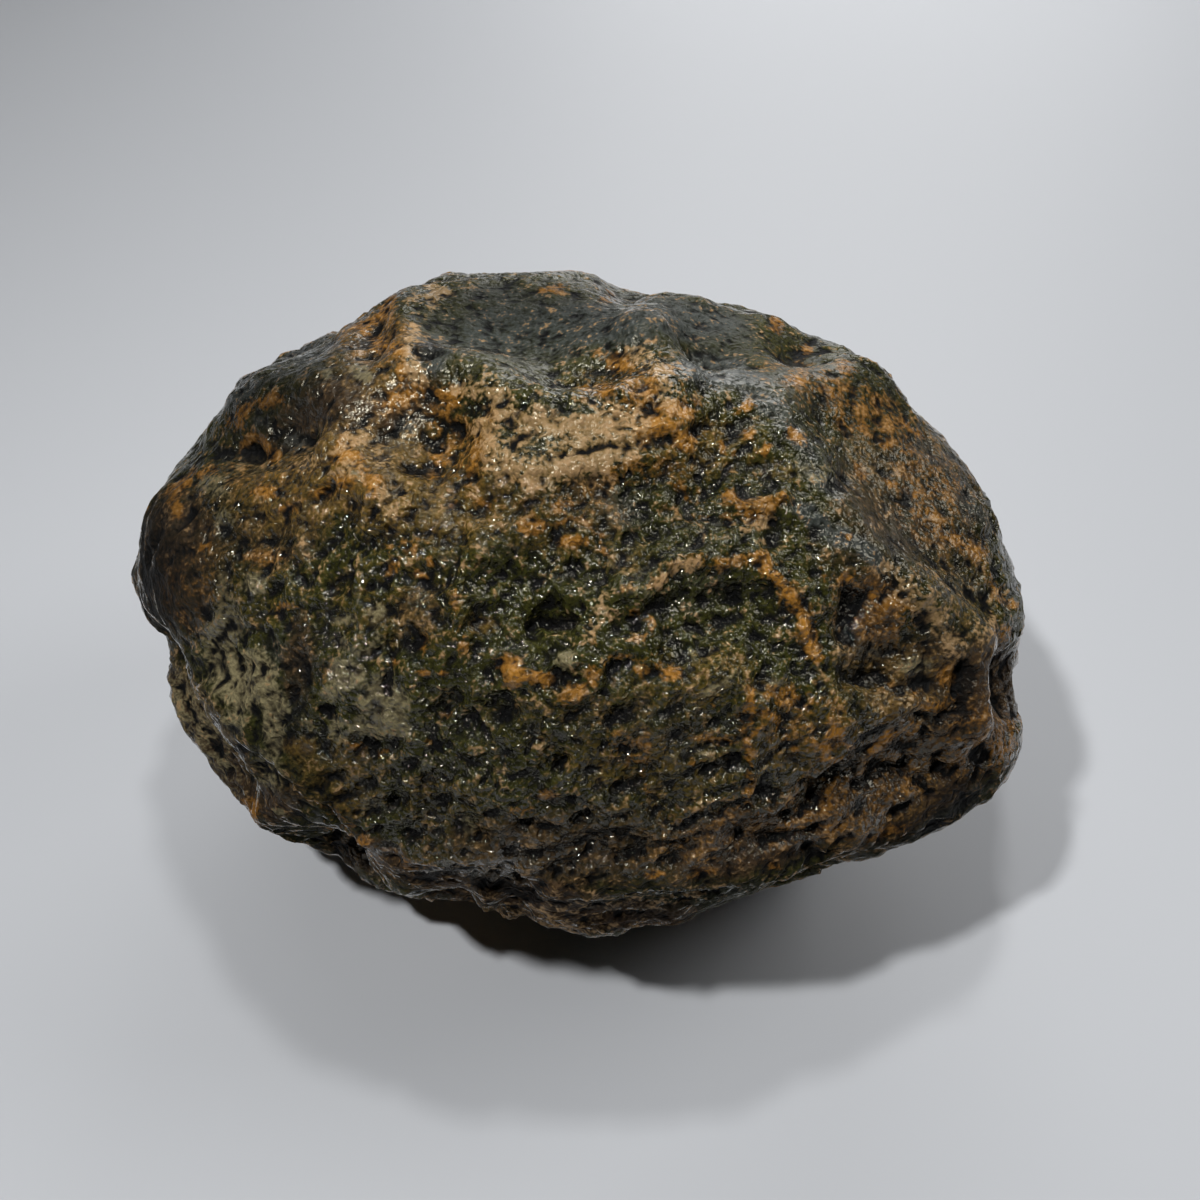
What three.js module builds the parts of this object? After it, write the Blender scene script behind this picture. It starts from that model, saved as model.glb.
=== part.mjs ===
// An unopened geode: one solid stone whose rind is thrown into ridges, basins and a sharp lower rim.
// Units are millimetres, +Z is up, and the origin is on the ground below the middle of the stone.
//
// The stone is an ellipsoid whose radius is changed in every direction by its outline, its relief
// and a little noise. The relief of the side that the photograph shows is given where it is seen,
// as pixels of the photograph, and carried onto the stone along the line of sight. Every height,
// depth and breadth is a real size. The hidden side has basins and ridges of the same sizes.

import * as THREE from "three";
import { ImprovedNoise } from "three/addons/math/ImprovedNoise.js";
import { mergeVertices } from "three/addons/utils/BufferGeometryUtils.js";

// Driving dimensions of the stone, in millimetres.
const LENGTH = 169;
const DEPTH = 133;
const HEIGHT = 121;
const REST_CUT = 4.0;
const MIDDLE = new THREE.Vector3(-3.4, -2.3, HEIGHT / 2 - REST_CUT);

// The mesh: 20 * (SPLITS + 1) ** 2 triangles, drawn a little closer together towards the eye.
const SPLITS = 19;
const CROWDING = 0.16;

// The photograph's point of view, in the stone's own frame.
const EYE = new THREE.Vector3(4.4, -167, 227.3);
const LOOK_DOWN = THREE.MathUtils.degToRad(45);
const FOCAL_PX = 1200;
const PHOTO_MIDDLE_PX = 600;
const LOOK = new THREE.Vector3(0, Math.cos(LOOK_DOWN), -Math.sin(LOOK_DOWN));
const LOOK_RIGHT = new THREE.Vector3(1, 0, 0);
const LOOK_UP = new THREE.Vector3().crossVectors(LOOK_RIGHT, LOOK);

// The stone's outline in the photograph, clockwise from its left end, in pixels.
const OUTLINE_PX = [
  [135, 590], [136, 560], [147, 510], [165, 483], [186, 456], [206, 433], [220, 411],
  [243, 381], [282, 357], [305, 348], [352, 325], [388, 298], [411, 287], [437, 277],
  [465, 274], [500, 276], [545, 272], [585, 272], [606, 281], [630, 294], [672, 293],
  [712, 301], [752, 310], [775, 316], [803, 335], [838, 345], [862, 356], [884, 371],
  [898, 387], [909, 405], [933, 428], [954, 452], [975, 481], [993, 510], [1003, 543],
  [1015, 567], [1022, 602], [1020, 640], [1015, 672], [1016, 706], [1022, 742],
  [1007, 780], [982, 802], [951, 822], [912, 841], [866, 858], [820, 870], [796, 880],
  [757, 890], [704, 908], [686, 920], [665, 924], [637, 925], [625, 932], [600, 936],
  [576, 933], [553, 925], [523, 920], [482, 907], [462, 897], [430, 899], [400, 894],
  [372, 885], [350, 862], [336, 850], [293, 840], [262, 828], [237, 797], [211, 762],
  [184, 722], [173, 697], [168, 663], [170, 643], [158, 627], [141, 612],
];
const OUTLINE_BROAD_TURN = THREE.MathUtils.degToRad(32);

// The points near the edge are stretched to that outline: how near, in how many sectors and rounds.
const EDGE_REACH = 0.34;
const EDGE_SECTORS = 150;
const EDGE_ROUNDS = 5;

// Folds merge by this power where they meet, and fade over this share of their length at the ends.
const MERGE_POWER = 3;
const END_FADE = 0.12;

// Raised lines: the crests of folds. Height and half breadth are in millimetres. A fold with a
// second half breadth, beyond, has that one on the right-hand side of its path.
const CRESTS = [
  // Basin on the top, its front lip, its left wall and the lump at its right
  { height: 4.6, breadth: 4.6, beyond: 6.5, path: [[398, 394], [430, 387], [465, 385], [500, 390], [524, 407],
    [552, 418], [590, 421], [622, 416], [648, 402], [690, 402]] },
  { height: 3.4, breadth: 4.2, path: [[440, 284], [420, 300], [411, 325], [412, 350], [418, 374],
    [432, 390]] },
  { height: 4.0, breadth: 5.0, path: [[606, 350], [634, 350], [655, 370], [668, 394], [690, 402]] },
  // Brow: the spur that runs down from the lip and the shelf's lower edge
  { height: 3.4, breadth: 3.6, path: [[500, 392], [494, 420], [498, 448], [512, 474], [534, 486]] },
  { height: 2.8, breadth: 6.0, beyond: 3.2, path: [[520, 478], [560, 470], [610, 462], [655, 446], [690, 428]] },
  // Left shoulder
  { height: 3.6, breadth: 5.0, path: [[420, 390], [388, 404], [356, 424], [343, 450], [360, 482],
    [386, 506], [410, 528]] },
  { height: 3.2, breadth: 5.0, path: [[398, 296], [372, 330], [364, 372], [336, 392], [300, 400],
    [262, 405], [230, 424]] },
  { height: 2.2, breadth: 5.0, path: [[150, 520], [190, 490], [232, 478], [275, 474], [318, 486]] },
  // Long diagonal crest from the top to the right shoulder, ending in the overhanging lobe
  { height: 3.8, breadth: 5.0, beyond: 8.0, path: [[690, 402], [720, 394], [750, 408], [779, 438], [805, 465],
    [826, 504], [846, 546], [870, 566], [893, 580]] },
  { height: 5.6, breadth: 3.6, beyond: 9.0, path: [[870, 566], [893, 580], [915, 597], [936, 620], [948, 642],
    [956, 668], [959, 690], [955, 708], [942, 722], [918, 722]] },
  // Far ridge of the upper right and the inner line along the right edge
  { height: 3.4, breadth: 4.2, beyond: 7.5, path: [[736, 378], [778, 375], [830, 377], [858, 385], [885, 397],
    [910, 414]] },
  { height: 3.0, breadth: 5.0, path: [[910, 414], [940, 440], [962, 482], [984, 530], [1000, 574],
    [1008, 606]] },
  { height: 2.6, breadth: 4.6, path: [[950, 640], [970, 645], [992, 628], [1012, 606]] },
  { height: 2.4, breadth: 4.6, path: [[1010, 720], [985, 738], [950, 742], [915, 736]] },
  // Lower rim, where the face turns under
  { height: 3.6, breadth: 6.0, beyond: 3.2, path: [[193, 722], [234, 757], [276, 780], [309, 820], [336, 842],
    [372, 880], [420, 877], [455, 874], [480, 873], [505, 882], [533, 892], [556, 903], [594, 900],
    [640, 892], [700, 882], [760, 874], [822, 860], [866, 840], [900, 834], [946, 804], [985, 772],
    [1012, 746]] },
  // Face folds
  { height: 1.6, breadth: 3.2, path: [[640, 590], [672, 570], [697, 558], [735, 560], [762, 562],
    [778, 580], [793, 602], [802, 626], [816, 654]] },
  { height: 1.4, breadth: 3.0, path: [[520, 542], [486, 546], [464, 574], [456, 598], [458, 622],
    [468, 648]] },
  { height: 1.5, breadth: 3.2, path: [[640, 592], [618, 594], [604, 616], [590, 640], [574, 668]] },
  { height: 1.5, breadth: 3.0, path: [[500, 668], [530, 680], [558, 694], [594, 678], [610, 660],
    [636, 655], [672, 676]] },
  { height: 1.5, breadth: 3.4, path: [[640, 692], [675, 690], [706, 676], [726, 660]] },
  { height: 1.2, breadth: 2.8, path: [[750, 700], [752, 735], [750, 790]] },
  { height: 1.8, breadth: 3.4, path: [[724, 494], [742, 512], [762, 508], [786, 497]] },
  { height: 1.6, breadth: 3.8, path: [[846, 592], [842, 640], [846, 690], [832, 730], [826, 780]] },
  { height: 1.6, breadth: 3.6, path: [[846, 690], [880, 704], [915, 722]] },
];

// Sunk lines: valleys and creases, with their depth as height.
const VALLEYS = [
  { height: 4.6, breadth: 6.5, path: [[672, 330], [694, 346], [713, 356], [750, 362], [797, 360],
    [828, 356]] },
  { height: 3.0, breadth: 8.0, path: [[786, 402], [838, 440], [875, 486], [905, 530], [940, 575],
    [970, 612]] },
  { height: 2.4, breadth: 5.5, path: [[322, 446], [284, 446], [250, 456], [216, 474]] },
  { height: 2.0, breadth: 4.6, path: [[590, 505], [650, 512], [700, 505], [740, 480]] },
  { height: 2.8, breadth: 3.4, path: [[966, 652], [964, 680], [964, 706], [956, 728]] },
  { height: 2.0, breadth: 2.8, path: [[846, 672], [866, 678], [890, 678]] },
  { height: 2.2, breadth: 3.0, path: [[852, 586], [846, 612], [850, 640]] },
  { height: 1.8, breadth: 2.8, path: [[826, 786], [842, 776], [864, 764], [884, 760]] },
  { height: 1.8, breadth: 2.6, path: [[882, 776], [900, 766], [918, 758]] },
  { height: 2.0, breadth: 2.6, path: [[980, 752], [976, 774], [960, 788]] },
  { height: 2.6, breadth: 4.2, path: [[228, 776], [262, 800], [296, 828], [324, 846]] },
  { height: 2.2, breadth: 3.2, path: [[478, 884], [504, 894], [530, 906]] },
  { height: 2.2, breadth: 3.6, path: [[830, 868], [870, 852], [916, 836], [962, 808], [996, 778]] },
  { height: 1.8, breadth: 3.2, path: [[440, 700], [448, 730], [434, 762]] },
];

// Round forms: height (or depth, when negative) in millimetres, half sizes in pixels as seen.
const MOUNDS = [
  // Basin on the top and the dark pocket below its right end
  { height: -4.6, at: [512, 346], half: [80, 34] },
  { height: -3.8, at: [572, 394], half: [46, 16] },
  // Hollows of the left shoulder, with one round pit
  { height: -4.0, at: [436, 440], half: [44, 34] },
  { height: -2.6, at: [382, 350], half: [16, 26] },
  { height: -2.4, at: [252, 454], half: [20, 18] },
  { height: -2.2, at: [300, 430], half: [34, 18] },
  // Deep hollows of the upper right
  { height: -3.6, at: [714, 354], half: [24, 14] },
  { height: -2.6, at: [798, 362], half: [22, 13] },
  { height: -2.2, at: [836, 486], half: [20, 14] },
  // Orange lump on the lip and the small knobs beside it
  { height: 2.2, at: [640, 362], half: [26, 18] },
  { height: 1.8, at: [676, 416], half: [22, 16] },
  { height: 1.4, at: [664, 436], half: [14, 12] },
  // Right end: the hollow beside the lobe, the lobe's foot and the corner
  { height: -5.2, at: [986, 680], half: [22, 32] },
  { height: 2.0, at: [938, 704], half: [20, 16] },
  { height: -2.2, at: [880, 640], half: [26, 30] },
  { height: 1.8, at: [1004, 744], half: [22, 22] },
  // Dark bulge of the left end
  { height: 2.6, at: [168, 560], half: [44, 60] },
  { height: -2.0, at: [200, 668], half: [34, 44] },
  // Sunk panels of the face between its folds
  { height: -1.5, at: [720, 610], half: [64, 36] },
  { height: -1.5, at: [530, 600], half: [56, 44] },
  { height: -1.6, at: [548, 626], half: [26, 13] },
  { height: 1.6, at: [620, 505], half: [70, 34] },
  { height: 1.4, at: [560, 770], half: [120, 60] },
  // Loose lower lobe under the rim at the left
  { height: 2.2, at: [262, 806], half: [32, 26] },
];

// The hidden side: basins with ridges between them, and the size of the noise over the whole stone.
const HIDDEN_BASINS = 15;
const HIDDEN_BASIN_DEPTH = 6.0;
const HIDDEN_RIDGE_BREADTH = 0.2;
const HIDDEN_SEED = 11;
const FOOT_SMOOTH_WITHIN = 20;
const FOOT_ROUGH_BEYOND = 46;
const SHOWN_FROM = 0.02;
const SHOWN_FULLY = 0.24;
const NOISE_OCTAVES = [
  { height: 1.5, period: 36 },
  { height: 0.8, period: 15 },
  { height: 0.55, period: 7.5 },
];

const STONE_COLOUR = 0x33341f;
const STONE_ROUGHNESS = 0.3;

const half = new THREE.Vector3(LENGTH / 2, DEPTH / 2, HEIGHT / 2);
const inverseSquare = new THREE.Vector3(half.x ** -2, half.y ** -2, half.z ** -2);
const smooth = THREE.MathUtils.smoothstep;

/** The pixel of the photograph where a point is seen, and its distance along the line of sight. */
function seen(point) {
  const ray = point.clone().sub(EYE);
  const away = ray.dot(LOOK);
  const x = PHOTO_MIDDLE_PX + (FOCAL_PX * ray.dot(LOOK_RIGHT)) / away;
  const y = PHOTO_MIDDLE_PX - (FOCAL_PX * ray.dot(LOOK_UP)) / away;
  return { x, y, away };
}

/** How far the plain ellipsoid reaches from the middle in a direction. */
function ellipsoidRadius(direction) {
  return 1 / Math.sqrt(direction.clone().multiply(direction).dot(inverseSquare));
}

const middlePx = seen(MIDDLE);

/** The distance in pixels from the middle to the edge of the plain ellipsoid, towards an angle. */
function ellipsoidEdgePx(angle) {
  const toMiddle = MIDDLE.clone().sub(EYE);
  const start = LOOK.clone()
    .addScaledVector(LOOK_RIGHT, (middlePx.x - PHOTO_MIDDLE_PX) / FOCAL_PX)
    .addScaledVector(LOOK_UP, -(middlePx.y - PHOTO_MIDDLE_PX) / FOCAL_PX);
  const step = new THREE.Vector3()
    .addScaledVector(LOOK_RIGHT, Math.cos(angle) / FOCAL_PX)
    .addScaledVector(LOOK_UP, -Math.sin(angle) / FOCAL_PX);
  const weighed = (a, b) => a.clone().multiply(b).dot(inverseSquare);
  // A line of sight grazes the ellipsoid where this quadratic in the distance is zero.
  const reach = weighed(toMiddle, toMiddle) - 1;
  const a = weighed(step, toMiddle) ** 2 - weighed(step, step) * reach;
  const b = 2 * (weighed(start, toMiddle) * weighed(step, toMiddle) - weighed(start, step) * reach);
  const c = weighed(start, toMiddle) ** 2 - weighed(start, start) * reach;
  const root = Math.sqrt(b * b - 4 * a * c);
  return Math.max((-b + root) / (2 * a), (-b - root) / (2 * a));
}

/** The outline as a table of angle and stretch against the plain ellipsoid, in order of angle. */
const outline = OUTLINE_PX.map(([x, y]) => {
  const angle = Math.atan2(y - middlePx.y, x - middlePx.x);
  const distance = Math.hypot(x - middlePx.x, y - middlePx.y);
  return { angle, stretch: distance / ellipsoidEdgePx(angle) };
}).sort((one, other) => one.angle - other.angle);

/** How far the photograph's outline stands beyond the plain ellipsoid's towards an angle. */
function outlineStretch(angle) {
  const turn = 2 * Math.PI;
  const wanted = THREE.MathUtils.euclideanModulo(angle - outline[0].angle, turn) + outline[0].angle;
  const after = outline.findIndex((knot) => knot.angle > wanted);
  const next = outline[after < 0 ? 0 : after];
  const last = outline[(after < 0 ? outline.length : after) - 1];
  const gap = THREE.MathUtils.euclideanModulo(next.angle - last.angle, turn);
  return THREE.MathUtils.lerp(last.stretch, next.stretch, (wanted - last.angle) / gap);
}

/** The outline's stretch, averaged over the turn to both sides of an angle. */
function broadStretch(angle) {
  const samples = 24;
  let sum = 0;
  for (let i = 0; i <= samples; i++) {
    sum += outlineStretch(angle + (i / samples - 0.5) * 2 * OUTLINE_BROAD_TURN);
  }
  return sum / (samples + 1);
}

/** A smooth line of points through a hand-placed path. */
function smoothPath(path) {
  const curve = new THREE.SplineCurve(path.map(([x, y]) => new THREE.Vector2(x, y)));
  return curve.getSpacedPoints(path.length * 4);
}

/**
 * The distance from a pixel to a line of points, how far along the line that is (from 0 to 1) and
 * on which side of it the pixel lies: above zero on the right-hand side of one who walks the line.
 */
function nearestOnPath(line, x, y) {
  let best = { distance: Infinity, along: 0, side: 0 };
  for (let i = 0; i + 1 < line.length; i++) {
    const from = line[i];
    const runX = line[i + 1].x - from.x;
    const runY = line[i + 1].y - from.y;
    const share = THREE.MathUtils.clamp(
      ((x - from.x) * runX + (y - from.y) * runY) / (runX * runX + runY * runY), 0, 1);
    const offX = x - from.x - share * runX;
    const offY = y - from.y - share * runY;
    const distance = Math.hypot(offX, offY);
    if (distance < best.distance) {
      best = { distance, along: (i + share) / (line.length - 1), side: runX * offY - runY * offX };
    }
  }
  return best;
}

const withLines = (folds) => folds.map((fold) => ({ ...fold, line: smoothPath(fold.path) }));
const crests = withLines(CRESTS);
const valleys = withLines(VALLEYS);

/** How high a set of folds stands at a pixel. Where folds meet, they merge and don't pile up. */
function foldHeight(folds, { x, y, away }) {
  const sum = folds.reduce((total, { height, breadth, beyond = breadth, line }) => {
    const { distance, along, side } = nearestOnPath(line, x, y);
    const across = (distance * away) / FOCAL_PX / (side > 0 ? beyond : breadth);
    const ends = smooth(along, -END_FADE / 2, END_FADE) * smooth(1 - along, -END_FADE / 2, END_FADE);
    return total + (height * Math.exp(-across * across) * (0.35 + 0.65 * ends)) ** MERGE_POWER;
  }, 0);
  return sum ** (1 / MERGE_POWER);
}

/** The height of all that the photograph shows at one of its pixels, in millimetres. */
function shownRelief(px) {
  const folds = foldHeight(crests, px) - foldHeight(valleys, px);
  return MOUNDS.reduce((sum, { height, at, half: reach }) => {
    const across = Math.hypot((px.x - at[0]) / reach[0], (px.y - at[1]) / reach[1]);
    return sum + height * Math.exp(-across * across);
  }, folds);
}

/** Repeatable numbers from 0 to 1. */
function seeded(seed) {
  let state = seed;
  return () => {
    state = (state * 16807) % 2147483647;
    return state / 2147483647;
  };
}

/** Directions of the hidden basins' middles, spread evenly and then shaken. */
function hiddenBasinMiddles() {
  const random = seeded(HIDDEN_SEED);
  const golden = Math.PI * (3 - Math.sqrt(5));
  const count = HIDDEN_BASINS * 2;
  return Array.from({ length: count }, (_, i) => {
    const z = 1 - (2 * i + 1) / count;
    const around = new THREE.Vector3(
      Math.cos(i * golden) * Math.sqrt(1 - z * z), Math.sin(i * golden) * Math.sqrt(1 - z * z), z);
    const shake = new THREE.Vector3(random() - 0.5, random() - 0.5, random() - 0.5);
    return around.addScaledVector(shake, 0.55).normalize();
  });
}

const basinMiddles = hiddenBasinMiddles();
const noise = new ImprovedNoise();

/** Basins on the hidden side: low in the middle of each, high where two of them meet. */
function hiddenRelief(direction) {
  const bent = direction.clone().addScaledVector(new THREE.Vector3(
    noise.noise(direction.x * 2.2, direction.y * 2.2, direction.z * 2.2 + 40),
    noise.noise(direction.x * 2.2 + 40, direction.y * 2.2, direction.z * 2.2),
    noise.noise(direction.x * 2.2, direction.y * 2.2 + 40, direction.z * 2.2)), 0.35).normalize();
  const gaps = basinMiddles.map((middle) => bent.distanceTo(middle)).sort((a, b) => a - b);
  const toBorder = (gaps[1] - gaps[0]) / HIDDEN_RIDGE_BREADTH;
  return HIDDEN_BASIN_DEPTH * (Math.exp(-toBorder * toBorder) - 0.4);
}

/** Unevenness of the whole rind at a point, in millimetres. */
function unevenness(point) {
  return NOISE_OCTAVES.reduce((sum, { height, period }) =>
    sum + height * noise.noise(point.x / period + 7, point.y / period + 3, point.z / period), 0);
}

/** The stone's radius from its middle in a direction, before its edge is fitted. */
function stoneRadius(direction) {
  const plain = ellipsoidRadius(direction);
  const point = MIDDLE.clone().addScaledVector(direction, plain);
  const normal = direction.clone().multiply(inverseSquare).normalize();
  const facing = normal.dot(EYE.clone().sub(point).normalize());
  const px = seen(point);
  const angle = Math.atan2(px.y - middlePx.y, px.x - middlePx.x);
  const broad = broadStretch(angle);
  const shown = smooth(facing, SHOWN_FROM, SHOWN_FULLY);
  const hidden = 1 - smooth(facing, -0.3, SHOWN_FROM);
  const fromFoot = direction.z < 0 ? Math.hypot(point.x, point.y) : Infinity;
  const rough = smooth(fromFoot, FOOT_SMOOTH_WITHIN, FOOT_ROUGH_BEYOND);
  const radius = plain * (1 + (broad - 1) * (1 - facing ** 2))
    + shownRelief(px) * shown
    + hiddenRelief(direction) * hidden * rough
    + unevenness(point) * (0.35 + 0.65 * hidden) * rough;
  return { radius, angle, nearEdge: Math.exp(-((facing / EDGE_REACH) ** 2)) };
}

/** Stretches the points near the edge until the stone is seen with the photograph's outline. */
function fitEdge(directions) {
  const spans = directions.map((direction) => ({ direction, ...stoneRadius(direction) }));
  for (let round = 0; round < EDGE_ROUNDS; round++) {
    const reached = new Array(EDGE_SECTORS).fill(0);
    const sectorOf = (angle) => ((angle / (2 * Math.PI)) + 1) * EDGE_SECTORS;
    for (const { direction, radius, angle } of spans) {
      const px = seen(MIDDLE.clone().addScaledVector(direction, radius));
      const share = Math.hypot(px.x - middlePx.x, px.y - middlePx.y)
        / (ellipsoidEdgePx(angle) * outlineStretch(angle));
      const sector = Math.floor(sectorOf(angle)) % EDGE_SECTORS;
      reached[sector] = Math.max(reached[sector], share);
    }
    // Where a sector holds no corner near the edge, the edge runs straight between its neighbours.
    const filled = reached.map((own, i) => Math.max(own,
      (reached[(i + EDGE_SECTORS - 1) % EDGE_SECTORS] + reached[(i + 1) % EDGE_SECTORS]) / 2));
    for (const span of spans) {
      const place = sectorOf(span.angle) - 0.5;
      const before = filled[Math.floor(place) % EDGE_SECTORS];
      const after = filled[Math.floor(place + 1) % EDGE_SECTORS];
      const share = THREE.MathUtils.lerp(before, after, place - Math.floor(place));
      span.radius *= 1 + (1 / share - 1) * span.nearEdge;
    }
  }
  return spans.map(({ radius }) => radius);
}

/** A direction drawn towards the eye, so that the side that is seen gets the finer mesh. */
function crowded(direction) {
  const towardsEye = EYE.clone().sub(MIDDLE).normalize();
  return direction.addScaledVector(towardsEye, CROWDING).normalize();
}

/** The whole stone, set down on the small flat where its underside meets the ground. */
function stoneGeometry() {
  const ball = new THREE.IcosahedronGeometry(1, SPLITS);
  ball.deleteAttribute("normal");
  ball.deleteAttribute("uv");
  const geometry = mergeVertices(ball, 1e-5);
  const position = geometry.getAttribute("position");
  const directions = Array.from({ length: position.count }, (_, i) =>
    crowded(new THREE.Vector3().fromBufferAttribute(position, i)));
  const radii = fitEdge(directions);
  directions.forEach((direction, i) => {
    const toGround = direction.z < 0 ? -MIDDLE.z / direction.z : Infinity;
    const point = MIDDLE.clone().addScaledVector(direction, Math.min(radii[i], toGround));
    position.setXYZ(i, point.x, point.y, radii[i] < toGround ? point.z : 0);
  });
  geometry.computeVertexNormals();
  return geometry;
}

const stone = new THREE.Mesh(
  stoneGeometry(),
  new THREE.MeshStandardMaterial({ color: STONE_COLOUR, roughness: STONE_ROUGHNESS, metalness: 0 }),
);
stone.name = "geode";

const geode = new THREE.Group();
geode.add(stone);

export default geode;
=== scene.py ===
"""A wet, unopened geode on a pale floor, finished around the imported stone.

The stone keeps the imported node's form. Its mesh is made finer and gets the low relief that the solid
is too coarse for: creases, slits, pits and wrinkles. What the photograph shows is placed by pixels of
its 1200 by 1200 frame, along the line of sight. The rest grows by rule, so every side is finished.
"""

import logging
import math
from dataclasses import dataclass, replace
from enum import Enum

import bmesh
import bpy
import numpy as np
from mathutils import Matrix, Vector, noise


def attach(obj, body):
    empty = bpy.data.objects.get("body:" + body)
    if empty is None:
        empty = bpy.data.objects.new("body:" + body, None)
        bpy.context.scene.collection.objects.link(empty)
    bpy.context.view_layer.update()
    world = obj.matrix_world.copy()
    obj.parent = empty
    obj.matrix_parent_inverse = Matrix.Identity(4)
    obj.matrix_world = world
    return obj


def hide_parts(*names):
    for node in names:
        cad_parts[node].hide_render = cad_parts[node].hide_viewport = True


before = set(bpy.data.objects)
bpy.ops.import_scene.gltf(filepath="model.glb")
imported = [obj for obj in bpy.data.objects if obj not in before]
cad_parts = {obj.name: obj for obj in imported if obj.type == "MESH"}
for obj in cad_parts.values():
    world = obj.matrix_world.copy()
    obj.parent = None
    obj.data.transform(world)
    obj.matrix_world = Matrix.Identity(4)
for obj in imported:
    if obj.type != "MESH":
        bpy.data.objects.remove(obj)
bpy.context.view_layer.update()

MM = 0.001
# Vector noise starts from the clock unless it is given a seed.
NOISE_SEED = 7
LOG = logging.getLogger("geode")
Colour = tuple[float, float, float]
Place = tuple[float, float, float]
Pixel = tuple[float, float]


def smoothstep(low: float, high: float, value: np.ndarray) -> np.ndarray:
    """Rises smoothly from 0 at low to 1 at high.

    Args:
        low: Where the rise starts.
        high: Where it ends. It may be below low, and then the value falls.
        value: The numbers to map.

    Returns:
        The mapped numbers, from 0 to 1.
    """
    share = np.clip((value - low) / (high - low), 0.0, 1.0)
    return share * share * (3.0 - 2.0 * share)


def unit(rows: np.ndarray) -> np.ndarray:
    """The rows of an array of vectors, each at length 1."""
    return rows / np.linalg.norm(rows, axis=-1, keepdims=True)


def drifts(points: np.ndarray, period: float) -> np.ndarray:
    """Smooth random moves, up to about 1, at points in metres; period is in millimetres."""
    return np.array([noise.noise_vector(Vector(row)) for row in points / (period * MM)])


@dataclass(frozen=True)
class Seen:
    """Where points of the stone are seen in the photograph.

    x and y are pixels and px_per_mm is the scale there. facing is the cosine between the surface's
    direction and the way to the eye, and shown goes from 0, turned away, to 1.
    """

    x: np.ndarray
    y: np.ndarray
    px_per_mm: np.ndarray
    facing: np.ndarray
    shown: np.ndarray

    def shaken(self, points: np.ndarray, reach: float, period: float) -> "Seen":
        """The same places, moved about a little, so that what is drawn there gets uneven edges.

        Args:
            points: One row for each point, in metres.
            reach: How far the places move, in millimetres.
            period: The distance between opposite moves, in millimetres.

        Returns:
            The moved places.
        """
        moves = drifts(points, period)
        reach_px = reach * self.px_per_mm
        return replace(self, x=self.x + moves[:, 0] * reach_px, y=self.y + moves[:, 2] * reach_px)


@dataclass(frozen=True)
class PhotoView:
    """The photograph's point of view, in the stone's frame, in metres."""

    eye: Place = (0.0044, -0.167, 0.2273)
    look_down: float = math.radians(45)
    focal_px: float = 1200.0
    frame_px: float = 1200.0
    sensor_mm: float = 36.0
    turned_away: float = 0.22

    def axes(self) -> tuple[np.ndarray, np.ndarray, np.ndarray]:
        """Works out how the picture lies.

        Returns:
            The directions to the right, up and ahead in the picture.
        """
        ahead = np.array([0.0, math.cos(self.look_down), -math.sin(self.look_down)])
        right = np.array([1.0, 0.0, 0.0])
        return right, np.cross(right, ahead), ahead

    def see(self, points: np.ndarray, normals: np.ndarray) -> Seen:
        """Finds where points of the surface are seen.

        Args:
            points: One row for each point, in metres.
            normals: The surface's outward direction there.

        Returns:
            Their pixels, scale and how far they face the eye.
        """
        right, up, ahead = self.axes()
        ray = points - np.array(self.eye)
        away = ray @ ahead
        middle = self.frame_px / 2
        facing = -(unit(ray) * normals).sum(axis=1)
        return Seen(
            x=middle + self.focal_px * (ray @ right) / away,
            y=middle - self.focal_px * (ray @ up) / away,
            px_per_mm=self.focal_px * MM / away,
            facing=facing,
            shown=smoothstep(0.0, self.turned_away, facing),
        )

    def camera(self) -> bpy.types.Object:
        """Makes the camera at the eye.

        Returns:
            The camera, which is also the scene's camera.
        """
        data = bpy.data.cameras.new("photo_camera")
        data.sensor_width = self.sensor_mm
        data.lens = self.sensor_mm * self.focal_px / self.frame_px
        data.clip_start = 0.01
        camera = bpy.data.objects.new("photo_camera", data)
        camera.location = self.eye
        camera.rotation_euler = (math.pi / 2 - self.look_down, 0.0, 0.0)
        bpy.context.scene.collection.objects.link(camera)
        bpy.context.scene.camera = camera
        return camera


@dataclass(frozen=True)
class Streak:
    """A line seen in the photograph: its half breadth in millimetres, its strength and its path."""

    breadth: float
    strength: float
    path: tuple[Pixel, ...]

    def line(self) -> np.ndarray:
        """Rounds the path's corners.

        Returns:
            The path as a smooth line with three steps between two of its points.
        """
        knots = np.array([self.path[0], *self.path, self.path[-1]], dtype=float)
        rows = []
        for before, start, end, after in zip(knots, knots[1:], knots[2:], knots[3:]):
            for t in (0.0, 1 / 3, 2 / 3):
                bend = (2 * before - 5 * start + 4 * end - after) * t * t
                turn = (3 * start - before - 3 * end + after) * t**3
                rows.append(0.5 * (2 * start + (end - before) * t + bend + turn))
        return np.array([*rows, knots[-1]])

    def at(self, seen: Seen) -> np.ndarray:
        """The streak's strength at points of the stone.

        Args:
            seen: Where the points are seen.

        Returns:
            Its strength on the line, falling to 0 beside it.
        """
        line = self.line()
        reach = 2.5 * self.breadth * seen.px_per_mm.max()
        low, high = line.min(axis=0) - reach, line.max(axis=0) + reach
        near = np.flatnonzero(
            (seen.x > low[0]) & (seen.x < high[0]) & (seen.y > low[1]) & (seen.y < high[1])
        )
        value = np.zeros(len(seen.x))
        if not len(near):
            return value
        spot = np.stack([seen.x[near], seen.y[near]], axis=1)
        gap = np.full(len(near), np.inf)
        for start, end in zip(line, line[1:]):
            run = end - start
            share = np.clip(((spot - start) @ run) / max(run @ run, 1e-9), 0.0, 1.0)
            away = np.linalg.norm(spot - start - share[:, None] * run, axis=1)
            gap = np.minimum(gap, away)
        across = gap / (self.breadth * seen.px_per_mm[near])
        value[near] = self.strength * np.exp(-across * across)
        return value


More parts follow.
